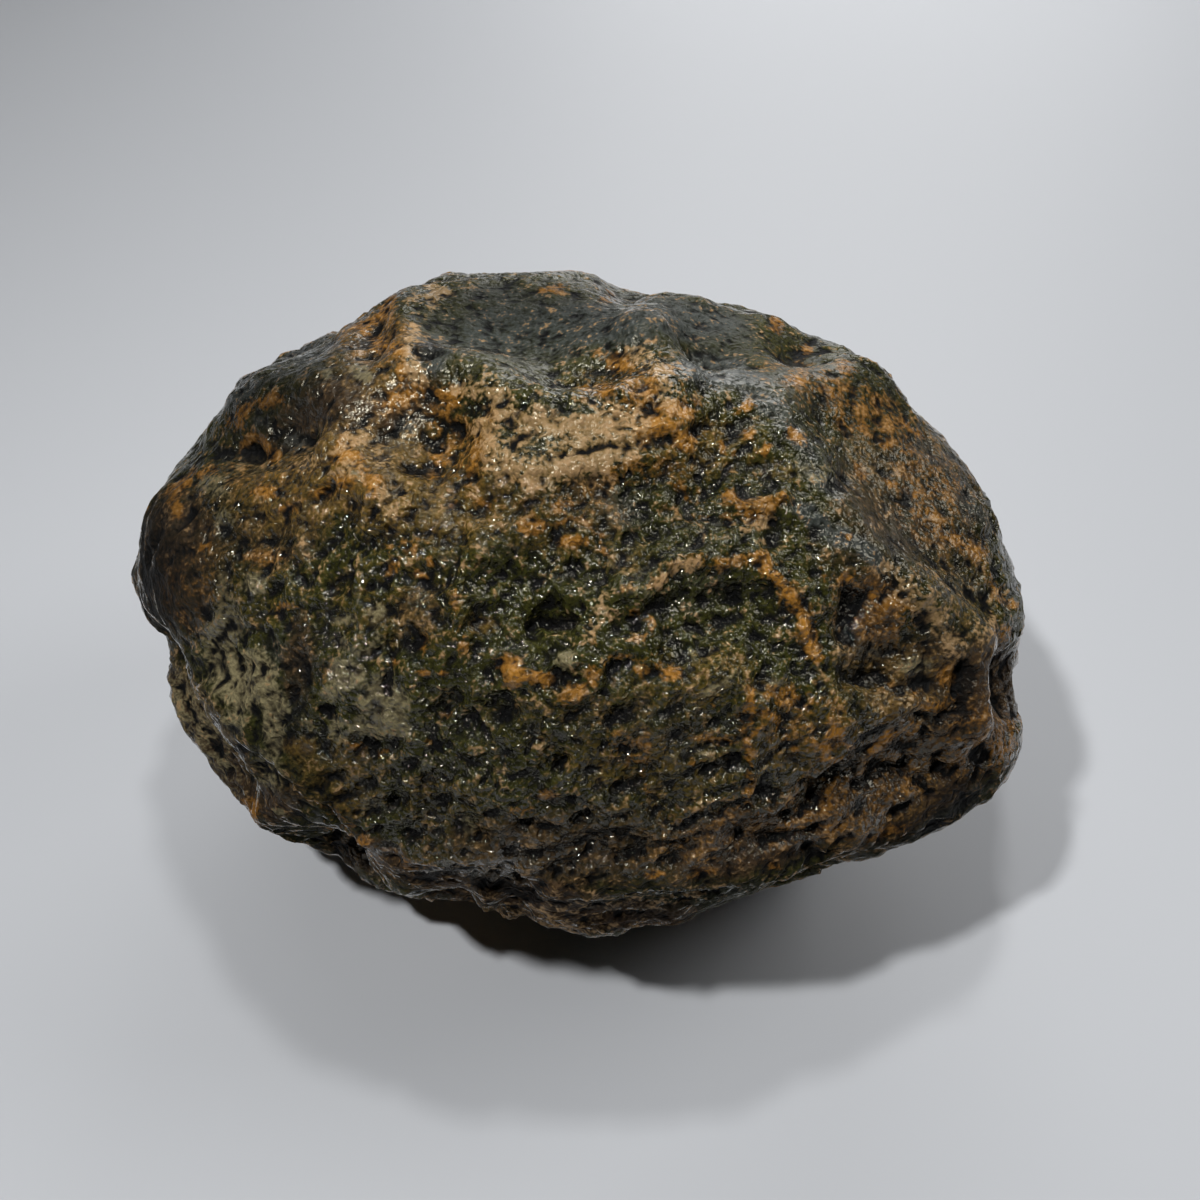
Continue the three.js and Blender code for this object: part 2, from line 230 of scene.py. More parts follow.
@dataclass(frozen=True)
class Spot:
    """An oval seen in the photograph: its middle and half sizes in pixels, its strength and turn.

    turn is in degrees, clockwise in the picture, from an oval that lies along the picture's rows. The
    spot fades from its full strength inside its half sizes to none outside them.
    """

    x: float
    y: float
    half_width: float
    half_height: float
    strength: float = 1.0
    turn: float = 0.0

    def at(self, seen: Seen) -> np.ndarray:
        """The spot's strength at points of the stone.

        Args:
            seen: Where the points are seen.

        Returns:
            Its strength inside, falling to 0 past its edge.
        """
        full, none = 0.45, 1.45
        angle = math.radians(self.turn)
        off_x = seen.x - self.x
        off_y = seen.y - self.y
        along = (off_x * math.cos(angle) + off_y * math.sin(angle)) / self.half_width
        across = (off_y * math.cos(angle) - off_x * math.sin(angle)) / self.half_height
        return self.strength * smoothstep(none, full, np.hypot(along, across))


def strongest(drawn: tuple[Streak | Spot, ...], seen: Seen) -> np.ndarray:
    """The strength, at points of the stone, of whichever streak or spot is strongest there."""
    return np.max([one.at(seen) for one in drawn], axis=0)


class Mark(Enum):
    """The kinds of stain on the rind, by the name of the mesh attribute that holds each; the greyish kind
    is partly a painted sheen and the black kind is painted shade.
    """

    GOLD = "gold"
    RUST = "rust"
    PEACH = "peach"
    OLIVE = "olive"
    GREY_AND_SHEEN = "grey_and_sheen"
    BROWN = "brown"
    SHADE_BLACK = "black_shade"


# Thin raised lines of the face, with their heights in millimetres.
FINE_CRESTS = (
    # Polygon on the right of the face and its branches
    Streak(1.3, 0.9, (
        (654, 581), (672, 571), (695, 558), (731, 561), (762, 562), (774, 579), (792, 599), (800, 622),
        (813, 645), (815, 653),
    )),
    Streak(1.2, 0.7, ((727, 492), (742, 512), (760, 508), (785, 497))),
    Streak(1.0, 0.6, ((742, 512), (737, 530), (722, 545))),
    # Polygon on the left of the face
    Streak(1.1, 0.8, (
        (524, 528), (506, 544), (486, 545), (463, 576), (455, 597), (457, 622), (466, 642), (461, 663),
    )),
    Streak(0.9, 0.6, ((500, 600), (512, 612), (506, 634), (492, 642))),
    # Pale crests in the middle
    Streak(1.3, 0.8, ((642, 594), (619, 591), (606, 617), (588, 640), (573, 670))),
    Streak(1.0, 0.6, ((624, 630), (642, 635), (652, 620))),
    # Rust crest below the middle
    Streak(1.2, 0.8, (
        (504, 668), (520, 676), (540, 680), (557, 696), (573, 694), (593, 678), (609, 658), (634, 655),
        (652, 663), (672, 678),
    )),
    Streak(1.2, 0.5, ((642, 692), (676, 690), (706, 676), (726, 660), (738, 648))),
    # Upright crests, left and right
    Streak(0.8, 0.8, ((381, 629), (382, 650), (381, 678))),
    Streak(0.8, 0.7, ((750, 678), (753, 713), (751, 750), (750, 801))),
    Streak(0.8, 0.5, ((752, 713), (774, 714), (790, 734))),
    Streak(0.7, 0.4, ((643, 725), (641, 760), (643, 799))),
    Streak(0.7, 0.5, (
        (327, 728), (331, 718), (338, 716), (345, 728), (338, 738), (330, 735), (327, 728),
    )),
)

# Long dark openings and creases, with their depths in millimetres.
FINE_SLITS = (
    Streak(0.75, 1.9, ((530, 626), (540, 620), (550, 622), (562, 624), (574, 619))),
    Streak(0.9, 1.4, ((409, 837), (420, 836), (435, 832))),
    Streak(0.9, 1.3, ((506, 854), (522, 852), (537, 851))),
    Streak(0.9, 1.2, ((617, 791), (628, 789), (639, 785))),
    Streak(0.9, 1.4, ((615, 858), (628, 856), (641, 852))),
    Streak(1.0, 1.4, ((420, 876), (436, 874), (453, 871))),
    Streak(1.2, 1.8, ((474, 877), (500, 886), (520, 893), (538, 894))),
    Streak(1.1, 1.6, ((706, 773), (718, 766), (733, 756))),
    Streak(1.1, 1.6, ((762, 843), (790, 838), (817, 831))),
    Streak(1.1, 1.6, ((830, 779), (822, 790), (818, 806))),
    Streak(1.2, 1.8, ((859, 786), (872, 776), (886, 767))),
    Streak(1.1, 1.6, ((983, 750), (978, 762), (974, 773))),
    Streak(0.9, 1.2, ((389, 640), (388, 660), (390, 690))),
    Streak(1.1, 1.5, ((848, 592), (845, 612), (846, 637))),
    Streak(1.1, 1.5, ((848, 673), (866, 680), (884, 680))),
    Streak(1.2, 1.7, ((922, 716), (938, 720), (955, 714))),
    Streak(1.3, 2.0, ((965, 664), (962, 690), (963, 714))),
    Streak(0.6, 0.7, ((565, 454), (580, 451), (596, 449), (612, 446))),
)

# Small round or oval pits, with their depths in millimetres.
FINE_PITS = (
    Spot(584, 607, 4, 6, 1.2), Spot(392, 804, 7, 6, 1.3), Spot(478, 841, 8, 5, 1.2, -25),
    Spot(466, 852, 7, 5, 1.2, -25), Spot(586, 814, 9, 5, 1.3, -25), Spot(529, 821, 8, 5, 1.2, -25),
    Spot(560, 764, 10, 5, 1.3, -25), Spot(486, 778, 8, 5, 1.1, -25), Spot(600, 787, 7, 5, 1.1, -25),
    Spot(586, 854, 9, 5, 1.2, -20), Spot(466, 870, 9, 5, 1.3, -10), Spot(490, 903, 10, 5, 1.2, 15),
    Spot(596, 901, 10, 5, 1.2), Spot(746, 781, 8, 6, 1.3, -30), Spot(787, 817, 9, 6, 1.3, -30),
    Spot(742, 835, 9, 6, 1.3, -20), Spot(815, 851, 8, 6, 1.3, -20), Spot(839, 769, 8, 6, 1.4, -35),
    Spot(899, 811, 12, 7, 1.5, -35), Spot(927, 735, 6, 9, 1.5, 10), Spot(939, 764, 7, 9, 1.5, 30),
    Spot(922, 781, 8, 9, 1.6, 30), Spot(241, 750, 8, 6, 1.4), Spot(376, 829, 7, 6, 1.2),
    Spot(336, 837, 8, 5, 1.2), Spot(405, 832, 7, 5, 1.2), Spot(293, 695, 5, 8, 1.2),
    Spot(838, 484, 12, 9, 0.9), Spot(252, 456, 12, 11, 1.2), Spot(428, 350, 14, 9, 1.6),
)

# The stains that the photograph shows, by kind.
STAINS: dict[Mark, tuple[Streak | Spot, ...]] = {
    Mark.GOLD: (
        # Broad mottled zones
        Spot(430, 490, 120, 66, 0.62), Spot(300, 490, 100, 46, 0.55, -10), Spot(352, 462, 46, 48, 0.8),
        Spot(560, 515, 80, 50, 0.45), Spot(690, 445, 80, 44, 0.45), Spot(372, 350, 54, 46, 0.55),
        Spot(250, 580, 70, 60, 0.3), Spot(400, 600, 90, 60, 0.3), Spot(650, 765, 110, 44, 0.42),
        Spot(800, 740, 80, 50, 0.5), Spot(330, 770, 60, 44, 0.42), Spot(560, 850, 170, 40, 0.22),
        Spot(560, 720, 110, 40, 0.25), Spot(890, 690, 80, 60, 0.42), Spot(900, 450, 80, 60, 0.35, 40),
        Spot(960, 570, 40, 90, 0.4, -20), Spot(690, 680, 80, 40, 0.35),
        Spot(880, 790, 100, 60, 0.35, -25), Spot(660, 830, 90, 40, 0.3),
        # Smaller ones
        Spot(300, 748, 22, 10, 0.8), Spot(480, 626, 18, 14, 0.6), Spot(380, 612, 16, 14, 0.6),
        Spot(716, 690, 26, 9, 0.6, -32), Spot(780, 470, 26, 14, 0.4, 30), Spot(630, 560, 30, 16, 0.4),
        Spot(350, 800, 40, 18, 0.5), Spot(440, 800, 50, 30, 0.35), Spot(590, 385, 26, 18, 0.5),
        Spot(770, 690, 26, 16, 0.55),
    ),
    Mark.RUST: (
        # Broad mottled zones
        Spot(640, 395, 50, 52, 0.55), Spot(850, 405, 90, 30, 0.5, 28), Spot(930, 500, 40, 60, 0.5, -20),
        Spot(880, 610, 50, 40, 0.45, 20), Spot(860, 790, 110, 46, 0.45, -25), Spot(980, 740, 40, 40, 0.5),
        Spot(470, 450, 44, 50, 0.45), Spot(720, 830, 90, 34, 0.35, -12), Spot(375, 340, 46, 34, 0.4),
        Spot(270, 470, 60, 40, 0.28), Spot(190, 590, 40, 40, 0.3), Spot(710, 500, 50, 30, 0.3),
        Spot(560, 500, 60, 44, 0.3), Spot(640, 470, 60, 16, 0.42, -8), Spot(800, 720, 60, 40, 0.35),
        # Crests of the face
        Streak(1.3, 0.66, ((654, 581), (672, 571), (695, 560), (731, 560), (755, 562))),
        Streak(1.6, 1.1, ((764, 562), (776, 575), (788, 592), (797, 612), (806, 632), (812, 650))),
        Streak(1.2, 0.88, ((812, 650), (818, 658))),
        Streak(0.8, 0.62, ((820, 562), (823, 570), (828, 577))), Spot(733, 498, 10, 7, 0.94, 25),
        Streak(1.5, 0.92, ((738, 500), (745, 512), (746, 522))),
        Streak(1.4, 0.79, ((746, 514), (762, 508), (784, 500))), Spot(784, 499, 6, 4, 0.94),
        Spot(724, 516, 8, 5, 0.68), Spot(703, 516, 7, 5, 0.51), Spot(513, 668, 13, 17, 1.06, 15),
        Spot(540, 678, 18, 8, 1.06, 14), Spot(574, 691, 15, 9, 0.85, -10), Spot(592, 679, 7, 9, 0.77),
        Spot(599, 672, 7, 6, 0.59), Spot(640, 671, 9, 6, 0.94), Spot(667, 674, 16, 7, 0.98, 14),
        Spot(652, 664, 5, 8, 0.68), Streak(0.9, 0.62, ((604, 661), (622, 656), (640, 656))),
        Spot(624, 590, 14, 6, 0.68, -20),
        Streak(0.8, 0.62, ((632, 616), (652, 620), (650, 634), (630, 636))), Spot(590, 634, 8, 12, 0.42),
        Streak(0.7, 0.53, ((457, 585), (456, 600), (458, 632), (467, 650))), Spot(462, 650, 6, 10, 0.51),
        # Between the face and the brow
        Streak(1.3, 0.92, ((474, 470), (482, 448), (484, 428), (492, 412))), Spot(488, 440, 12, 30, 0.77),
        Spot(522, 482, 22, 8, 0.68), Spot(566, 506, 16, 9, 0.85, -10), Spot(534, 528, 18, 10, 0.77, 10),
        Spot(572, 545, 22, 7, 0.94), Spot(485, 508, 16, 8, 0.59), Spot(452, 504, 9, 5, 0.77, -30),
        Streak(0.8, 0.62, ((556, 530), (566, 523), (578, 521), (590, 527), (602, 540), (607, 556))),
        Spot(440, 464, 14, 9, 0.77, -30), Spot(448, 440, 14, 10, 0.47), Spot(410, 548, 26, 12, 0.47),
        Spot(620, 468, 24, 8, 0.77, -14), Spot(680, 488, 16, 7, 0.68, 35), Spot(575, 474, 18, 6, 0.51),
        # Lip of the basin and its lump
        Streak(1.7, 0.85, ((392, 402), (412, 396), (436, 392), (458, 390))), Spot(450, 398, 10, 10, 1.0),
        Spot(442, 420, 14, 14, 0.6), Spot(620, 362, 14, 12, 1.1), Spot(606, 392, 12, 8, 0.9),
        Spot(600, 356, 10, 6, 0.7), Spot(648, 386, 14, 14, 0.9),
        Streak(1.5, 1.1, ((652, 404), (672, 402), (690, 412))), Spot(646, 436, 9, 14, 1.2, 10),
        Spot(658, 428, 9, 14, 1.1), Spot(686, 437, 13, 11, 1.15), Spot(672, 424, 10, 10, 0.9),
        Spot(586, 384, 8, 12, 0.7), Spot(632, 400, 16, 6, 0.7),
        # Left shoulder
        Streak(1.7, 0.85, ((352, 430), (344, 442), (340, 458), (350, 466), (364, 474), (372, 488))),
        Spot(352, 462, 14, 8, 1.0, -20), Spot(341, 484, 12, 10, 0.9), Spot(320, 490, 20, 9, 0.7),
        Streak(1.5, 0.8, ((394, 298), (384, 318), (366, 330), (380, 344), (404, 350))),
        Spot(404, 370, 7, 20, 0.7), Spot(366, 326, 12, 8, 0.8),
        Streak(1.4, 0.85, ((236, 426), (240, 416), (256, 408), (276, 402))),
        Streak(1.0, 0.9, ((240, 448), (246, 440), (260, 440), (270, 450), (278, 460))),
        Spot(276, 456, 8, 5, 0.9), Streak(1.2, 0.7, ((170, 494), (186, 484), (204, 470), (214, 472))),
        Spot(177, 510, 6, 11, 1.0), Spot(208, 550, 6, 6, 1.2), Spot(264, 494, 20, 6, 0.8),
        Spot(285, 508, 14, 8, 0.6), Spot(262, 556, 26, 10, 0.45), Spot(428, 563, 5, 6, 1.1),
        Spot(417, 579, 8, 6, 1.05, -30), Spot(390, 573, 6, 10, 0.7), Spot(283, 608, 7, 5, 0.8),
        Spot(298, 606, 5, 5, 0.7), Spot(420, 640, 6, 9, 0.8), Spot(396, 663, 6, 7, 0.8),
        Spot(443, 675, 6, 5, 0.9), Spot(427, 671, 6, 5, 0.8), Spot(357, 746, 12, 8, 0.75),
        Spot(382, 754, 12, 4, 0.7, -25), Spot(445, 720, 10, 5, 0.5), Spot(428, 738, 6, 4, 0.7),
        Spot(248, 809, 11, 9, 1.4, 40), Spot(333, 810, 14, 8, 0.55), Spot(365, 843, 8, 12, 0.65, -30),
        Spot(330, 828, 8, 7, 0.6), Spot(322, 672, 8, 12, 0.4), Spot(420, 866, 24, 5, 0.5),
        Spot(348, 824, 5, 6, 0.7),
        # Upper right slopes
        Spot(607, 297, 8, 6, 0.8), Spot(553, 292, 14, 6, 0.9), Spot(780, 324, 10, 6, 0.8, 30),
        Spot(806, 346, 8, 6, 0.7), Spot(794, 382, 16, 5, 0.9, 10), Spot(830, 392, 22, 6, 0.9, 30),
        Spot(846, 366, 14, 6, 0.7, 30), Spot(745, 408, 8, 6, 0.9), Spot(748, 434, 7, 8, 0.8, 30),
        Spot(721, 449, 6, 6, 1.0), Spot(735, 458, 5, 4, 0.9), Spot(764, 448, 9, 6, 1.0, -30),
        Spot(799, 436, 10, 5, 1.0, 25), Spot(700, 407, 8, 5, 0.8), Spot(862, 427, 7, 6, 1.0),
        Spot(888, 442, 10, 7, 0.7, 30), Spot(915, 430, 16, 6, 1.0, 30), Spot(840, 422, 14, 7, 0.6, 30),
        Spot(862, 472, 6, 9, 0.9, -30), Spot(888, 482, 8, 5, 0.9, 45), Spot(911, 493, 8, 4, 1.15),
        Spot(930, 512, 20, 6, 0.95, 12), Streak(1.8, 0.9, ((936, 528), (956, 536), (974, 552))),
        Spot(946, 484, 10, 8, 0.7), Spot(905, 452, 8, 5, 0.7), Spot(852, 540, 4, 3, 0.9),
        Streak(1.4, 0.8, ((990, 580), (1000, 596), (1012, 604))), Spot(1004, 632, 10, 8, 0.7),
        # Lobe, right end and lower right
        Spot(846, 578, 8, 4, 1.0), Spot(868, 597, 12, 4, 1.1), Spot(888, 605, 14, 6, 0.9, 10),
        Spot(860, 622, 6, 12, 0.6), Spot(908, 604, 16, 8, 0.8, 30), Spot(862, 646, 5, 3, 0.9),
        Spot(945, 676, 12, 12, 0.8), Streak(1.4, 0.75, ((926, 706), (942, 704), (954, 694))),
        Spot(915, 690, 8, 6, 0.8), Spot(884, 686, 14, 6, 0.5), Spot(912, 726, 14, 10, 0.7, 40),
        Spot(876, 748, 11, 8, 1.25, -35), Spot(890, 733, 9, 8, 1.15), Spot(834, 737, 8, 14, 1.15),
        Spot(832, 760, 9, 6, 1.0), Spot(816, 742, 7, 7, 0.8), Spot(848, 748, 6, 8, 0.9),
        Streak(1.2, 0.8, ((766, 700), (776, 694), (792, 697), (796, 704), (782, 707))),
        Spot(820, 704, 8, 4, 0.9), Spot(1000, 745, 18, 8, 0.9, -15), Spot(1010, 722, 6, 14, 0.7),
        Spot(985, 740, 18, 6, 0.7), Spot(950, 772, 14, 8, 0.6, -40), Spot(905, 792, 20, 7, 0.6, -20),
        Spot(928, 742, 6, 10, 0.5), Spot(828, 800, 6, 20, 0.9, 10), Spot(832, 828, 18, 6, 0.8, 20),
        Spot(848, 776, 8, 8, 0.7), Spot(795, 826, 28, 8, 0.8, -8), Spot(770, 836, 16, 6, 0.7),
        Spot(885, 832, 26, 5, 0.9, -20), Spot(750, 790, 6, 8, 0.7), Spot(772, 864, 8, 5, 0.8),
        Spot(704, 874, 16, 4, 0.7, -10), Spot(652, 873, 12, 4, 0.8), Spot(755, 730, 10, 6, 0.6),
        Spot(715, 736, 26, 5, 0.7, 6),
        # Upright crests and lower front
        Streak(0.7, 1.0, ((748, 690), (750, 713), (748, 750), (748, 801))),
        Streak(0.8, 0.9, ((748, 716), (762, 712), (776, 719), (788, 735), (798, 752))),
        Streak(0.6, 0.7, ((643, 735), (641, 760), (643, 799))), Spot(546, 798, 9, 6, 1.2),
        Spot(526, 808, 16, 4, 0.7), Spot(622, 745, 18, 12, 0.6), Spot(632, 762, 18, 7, 0.55),
        Spot(697, 764, 12, 8, 0.5), Spot(715, 706, 5, 4, 0.8), Spot(560, 822, 10, 6, 0.5),
        Spot(500, 846, 24, 4, 0.4), Spot(860, 656, 5, 3, 0.5),
    ),
    Mark.PEACH: (
        Spot(535, 918, 110, 13, 0.45, 4), Spot(640, 900, 90, 14, 0.3, -6),
        # Brow below the basin's lip
        Streak(2.6, 0.95, ((506, 472), (526, 474), (552, 466), (584, 462), (612, 452), (634, 436))),
        Streak(2.4, 0.95, ((498, 404), (516, 414), (536, 422), (556, 428), (592, 426), (626, 420))),
        Streak(1.8, 0.9, ((464, 388), (486, 390), (502, 398))), Spot(516, 444, 20, 24, 0.7),
        Streak(2.0, 0.9, ((484, 424), (492, 436), (496, 452), (502, 466))),
        Spot(580, 442, 46, 16, 0.75, -8), Spot(648, 432, 7, 14, 0.8, 10), Spot(636, 352, 20, 6, 0.9),
        Streak(1.6, 0.85, ((648, 358), (662, 374), (668, 392))), Spot(660, 398, 24, 5, 0.75, 10),
        Spot(436, 291, 14, 8, 1.0), Spot(432, 304, 7, 10, 0.8), Spot(418, 296, 10, 6, 0.7),
        Spot(600, 404, 34, 4, 0.4), Spot(444, 384, 16, 4, 0.6), Spot(540, 440, 24, 16, 0.5),
        Spot(690, 400, 14, 5, 0.4),
        # Left shoulder
        Streak(1.2, 0.95, ((348, 440), (356, 432), (366, 428))),
        Streak(1.2, 0.95, ((366, 444), (374, 440), (382, 450), (376, 458))),
        Spot(380, 492, 9, 7, 0.95, 20), Streak(0.9, 0.8, ((340, 476), (350, 468), (362, 468))),
        Streak(1.2, 0.75, ((412, 326), (411, 345), (414, 362), (420, 376))),
        Streak(1.0, 0.5, ((302, 462), (322, 458), (342, 450))), Spot(480, 518, 8, 8, 0.4),
        Streak(0.8, 0.7, ((382, 502), (392, 512), (400, 516))),
        # Right of the face
        Spot(763, 520, 15, 6, 1.0, -28), Spot(742, 530, 18, 6, 0.6, -30), Spot(760, 540, 12, 5, 0.5, -20),
        Streak(0.9, 0.8, ((656, 580), (676, 570), (696, 561))),
        Streak(0.9, 0.6, ((606, 596), (600, 612), (588, 634))), Spot(573, 671, 6, 5, 0.9),
        # Lobe and right end
        Streak(1.9, 0.85, ((888, 574), (906, 588), (922, 602), (934, 618))),
        Streak(1.3, 0.75, ((934, 618), (942, 632), (950, 648))), Spot(962, 642, 12, 8, 0.85, 20),
        Spot(985, 628, 16, 12, 0.5), Spot(966, 654, 5, 10, 0.8), Spot(1004, 592, 8, 14, 0.6, -20),
        Spot(948, 660, 5, 10, 0.6, -30), Streak(1.0, 0.5, ((902, 696), (912, 710), (924, 722))),
        Spot(600, 930, 40, 4, 0.35), Spot(840, 655, 5, 6, 0.6),
    ),
    Mark.OLIVE: (
        Spot(190, 720, 90, 30, 0.6, 57), Spot(222, 640, 24, 46, 0.82, 10),
        Spot(246, 680, 34, 34, 0.95, 40), Spot(276, 722, 13, 40, 1.15, 4), Spot(262, 690, 22, 14, 0.9),
        Spot(226, 600, 10, 40, 0.65), Spot(232, 720, 18, 14, 0.7), Spot(266, 768, 14, 24, 0.7, -40),
        Spot(228, 764, 10, 8, 0.9), Spot(384, 700, 28, 26, 1.05, 20), Spot(344, 672, 20, 14, 1.15),
        Spot(336, 690, 14, 10, 0.7), Spot(362, 650, 20, 8, 0.8), Spot(379, 640, 6, 22, 0.8),
        Spot(338, 644, 10, 9, 0.7), Spot(388, 726, 18, 14, 1.05), Spot(362, 726, 12, 12, 0.8),
        Spot(345, 618, 12, 5, 1.0),
        Streak(0.6, 0.95, (
            (327, 728), (331, 720), (338, 717), (344, 722), (345, 731), (338, 737), (330, 735),
        )),
        Streak(0.6, 0.7, ((298, 720), (306, 730), (312, 742))), Spot(334, 730, 10, 10, 0.6),
        Spot(379, 611, 10, 10, 0.9), Spot(254, 456, 10, 13, 1.15, -20), Spot(240, 464, 6, 10, 0.8),
        Spot(258, 585, 14, 12, 0.8), Spot(222, 520, 10, 16, 0.7), Spot(212, 486, 24, 10, 0.6, 20),
        Spot(328, 374, 8, 8, 1.0), Spot(362, 374, 9, 10, 1.05), Spot(354, 478, 9, 7, 1.05),
        Spot(566, 662, 11, 14, 1.0), Spot(720, 686, 22, 7, 0.8, -32), Spot(776, 686, 12, 8, 0.8),
        Spot(690, 752, 24, 6, 0.6), Spot(914, 664, 16, 12, 0.7), Spot(815, 470, 24, 12, 0.5),
        Spot(416, 764, 18, 10, 0.55), Spot(282, 812, 6, 4, 1.1), Spot(370, 805, 12, 8, 0.7),
        Spot(636, 590, 30, 8, 0.5), Spot(610, 384, 8, 5, 0.6), Spot(465, 825, 10, 12, 0.6),
    ),
    Mark.GREY_AND_SHEEN: (
        # Basin and the saddle at its right, where the greyish stain is partly a painted sheen
        Spot(520, 330, 100, 34, 0.75), Spot(600, 326, 70, 26, 0.85, 10), Spot(436, 352, 20, 26, 0.8),
        Spot(680, 320, 80, 24, 0.8, 8), Spot(720, 372, 56, 20, 0.95, 10), Spot(760, 400, 50, 14, 0.8, 35),
        Spot(800, 440, 40, 12, 0.7, 45), Spot(820, 480, 34, 12, 0.7, 40),
        Spot(826, 530, 44, 12, 0.85, 35), Spot(860, 545, 40, 10, 0.9, 38), Spot(880, 570, 16, 8, 0.8, 30),
        Spot(900, 540, 24, 26, 0.5), Spot(960, 590, 30, 20, 0.7), Spot(930, 450, 40, 14, 0.5, 50),
        Spot(968, 500, 44, 9, 0.7, 62), Spot(320, 344, 44, 12, 0.8, -24),
        Spot(240, 394, 36, 12, 0.8, -40), Spot(260, 384, 40, 8, 0.6, -25), Spot(405, 440, 18, 26, 0.95),
        Spot(384, 474, 14, 14, 0.7), Spot(296, 442, 20, 12, 0.85), Spot(262, 424, 12, 8, 0.7),
        Spot(500, 296, 60, 12, 0.6), Spot(620, 510, 30, 26, 0.6), Spot(560, 410, 40, 8, 0.5),
        Spot(700, 590, 60, 28, 0.35), Spot(870, 655, 14, 10, 0.8), Spot(1008, 620, 8, 20, 0.6),
        Spot(862, 700, 22, 12, 0.4), Spot(700, 900, 90, 14, 0.5, -8), Spot(590, 906, 60, 8, 0.6),
        Spot(950, 812, 66, 8, 0.75, -34), Spot(275, 650, 14, 30, 0.5), Spot(280, 790, 40, 6, 0.5, 42),
        Spot(360, 870, 40, 6, 0.4, 30), Spot(505, 550, 24, 8, 0.4), Spot(446, 556, 16, 10, 0.5),
        Spot(720, 352, 40, 20, 0.5), Spot(612, 335, 40, 8, 0.7, 4),
    ),
    Mark.BROWN: (
        Spot(360, 420, 110, 60, 0.7, -20), Spot(940, 700, 80, 80, 0.7), Spot(195, 735, 120, 36, 0.8, 57),
        Spot(850, 560, 50, 40, 0.4, 30), Spot(340, 460, 150, 70, 0.5, -15),
        Spot(910, 500, 90, 90, 0.5, 30), Spot(870, 620, 40, 60, 0.75), Spot(900, 780, 120, 54, 0.9, -28),
        Spot(990, 690, 34, 60, 0.9), Spot(740, 840, 110, 40, 0.75, -14), Spot(560, 850, 150, 46, 0.6, -2),
        Spot(180, 560, 56, 90, 0.6), Spot(270, 530, 60, 50, 0.5), Spot(300, 660, 20, 60, 0.5),
        Spot(420, 500, 60, 40, 0.3), Spot(640, 720, 100, 30, 0.35), Spot(930, 510, 60, 50, 0.5, 30),
        Spot(380, 340, 50, 30, 0.6), Spot(500, 890, 110, 22, 0.8, 8), Spot(600, 915, 110, 18, 0.9),
        Spot(590, 490, 30, 16, 0.6), Spot(420, 610, 30, 26, 0.5), Spot(270, 800, 40, 24, 0.7),
        Spot(380, 860, 60, 20, 0.7, 20), Spot(430, 400, 40, 14, 0.3), Spot(970, 690, 14, 50, 0.8),
    ),
    # Painted shade: black in creases, grooves, pits and on the left end.
    Mark.SHADE_BLACK: (
        Spot(148, 580, 14, 60, 0.8), Spot(224, 450, 10, 10, 0.8), Spot(204, 502, 12, 12, 0.6),
        Spot(180, 548, 18, 12, 0.5), Spot(206, 560, 30, 8, 0.3), Spot(700, 352, 20, 12, 0.55),
        Spot(800, 366, 18, 8, 0.45), Spot(838, 484, 12, 8, 0.6), Spot(430, 352, 16, 8, 0.6),
        Spot(298, 680, 10, 60, 0.5), Spot(294, 724, 8, 26, 0.8), Spot(240, 748, 6, 6, 0.9),
        Spot(950, 818, 50, 7, 0.7, -34), Spot(650, 916, 50, 5, 0.6), Spot(862, 590, 12, 8, 0.6),
        Spot(964, 690, 6, 34, 1.0, 4), Spot(885, 584, 18, 7, 0.6, 30), Spot(926, 622, 7, 7, 0.8),
        Spot(836, 772, 14, 5, 0.9, -40), Spot(872, 774, 16, 5, 0.9, -30), Spot(856, 640, 7, 26, 0.4),
        Spot(560, 398, 46, 10, 0.55), Spot(908, 442, 20, 6, 0.6, 20), Spot(926, 522, 14, 5, 0.7, 15),
        Spot(762, 600, 40, 20, 0.3), Spot(310, 646, 22, 10, 0.6, -20), Spot(376, 526, 20, 12, 0.5),
        Spot(490, 580, 26, 20, 0.35), Spot(560, 632, 40, 20, 0.35), Spot(600, 830, 16, 16, 0.4),
        Spot(690, 790, 30, 10, 0.4), Spot(870, 720, 20, 12, 0.6), Spot(812, 850, 14, 6, 0.8),
        Spot(985, 664, 12, 8, 0.6), Spot(410, 740, 8, 26, 0.5, 12), Spot(570, 400, 24, 6, 0.5),
    ),
}

# Where the film of water is thin and the surface looks dull.
DULL = (
    Spot(520, 320, 140, 50, 0.8), Spot(720, 330, 130, 44, 0.75, 14), Spot(880, 400, 60, 50, 0.7, 45),
    Spot(268, 743, 150, 26, 1.0, 46), Spot(195, 735, 120, 36, 1.0, 57), Spot(150, 560, 60, 120, 1.0),
    Spot(240, 700, 70, 90, 0.7, 60), Spot(600, 905, 190, 34, 1.0), Spot(570, 440, 90, 40, 0.45),
    Spot(970, 680, 50, 110, 0.6), Spot(930, 820, 110, 26, 1.0, -32), Spot(300, 840, 90, 30, 1.0, 35),
    Spot(770, 870, 110, 24, 0.9, -14), Spot(250, 780, 70, 30, 0.8, 45), Spot(420, 880, 90, 20, 0.8, 12),
    Spot(220, 450, 50, 60, 0.5, -40),
)
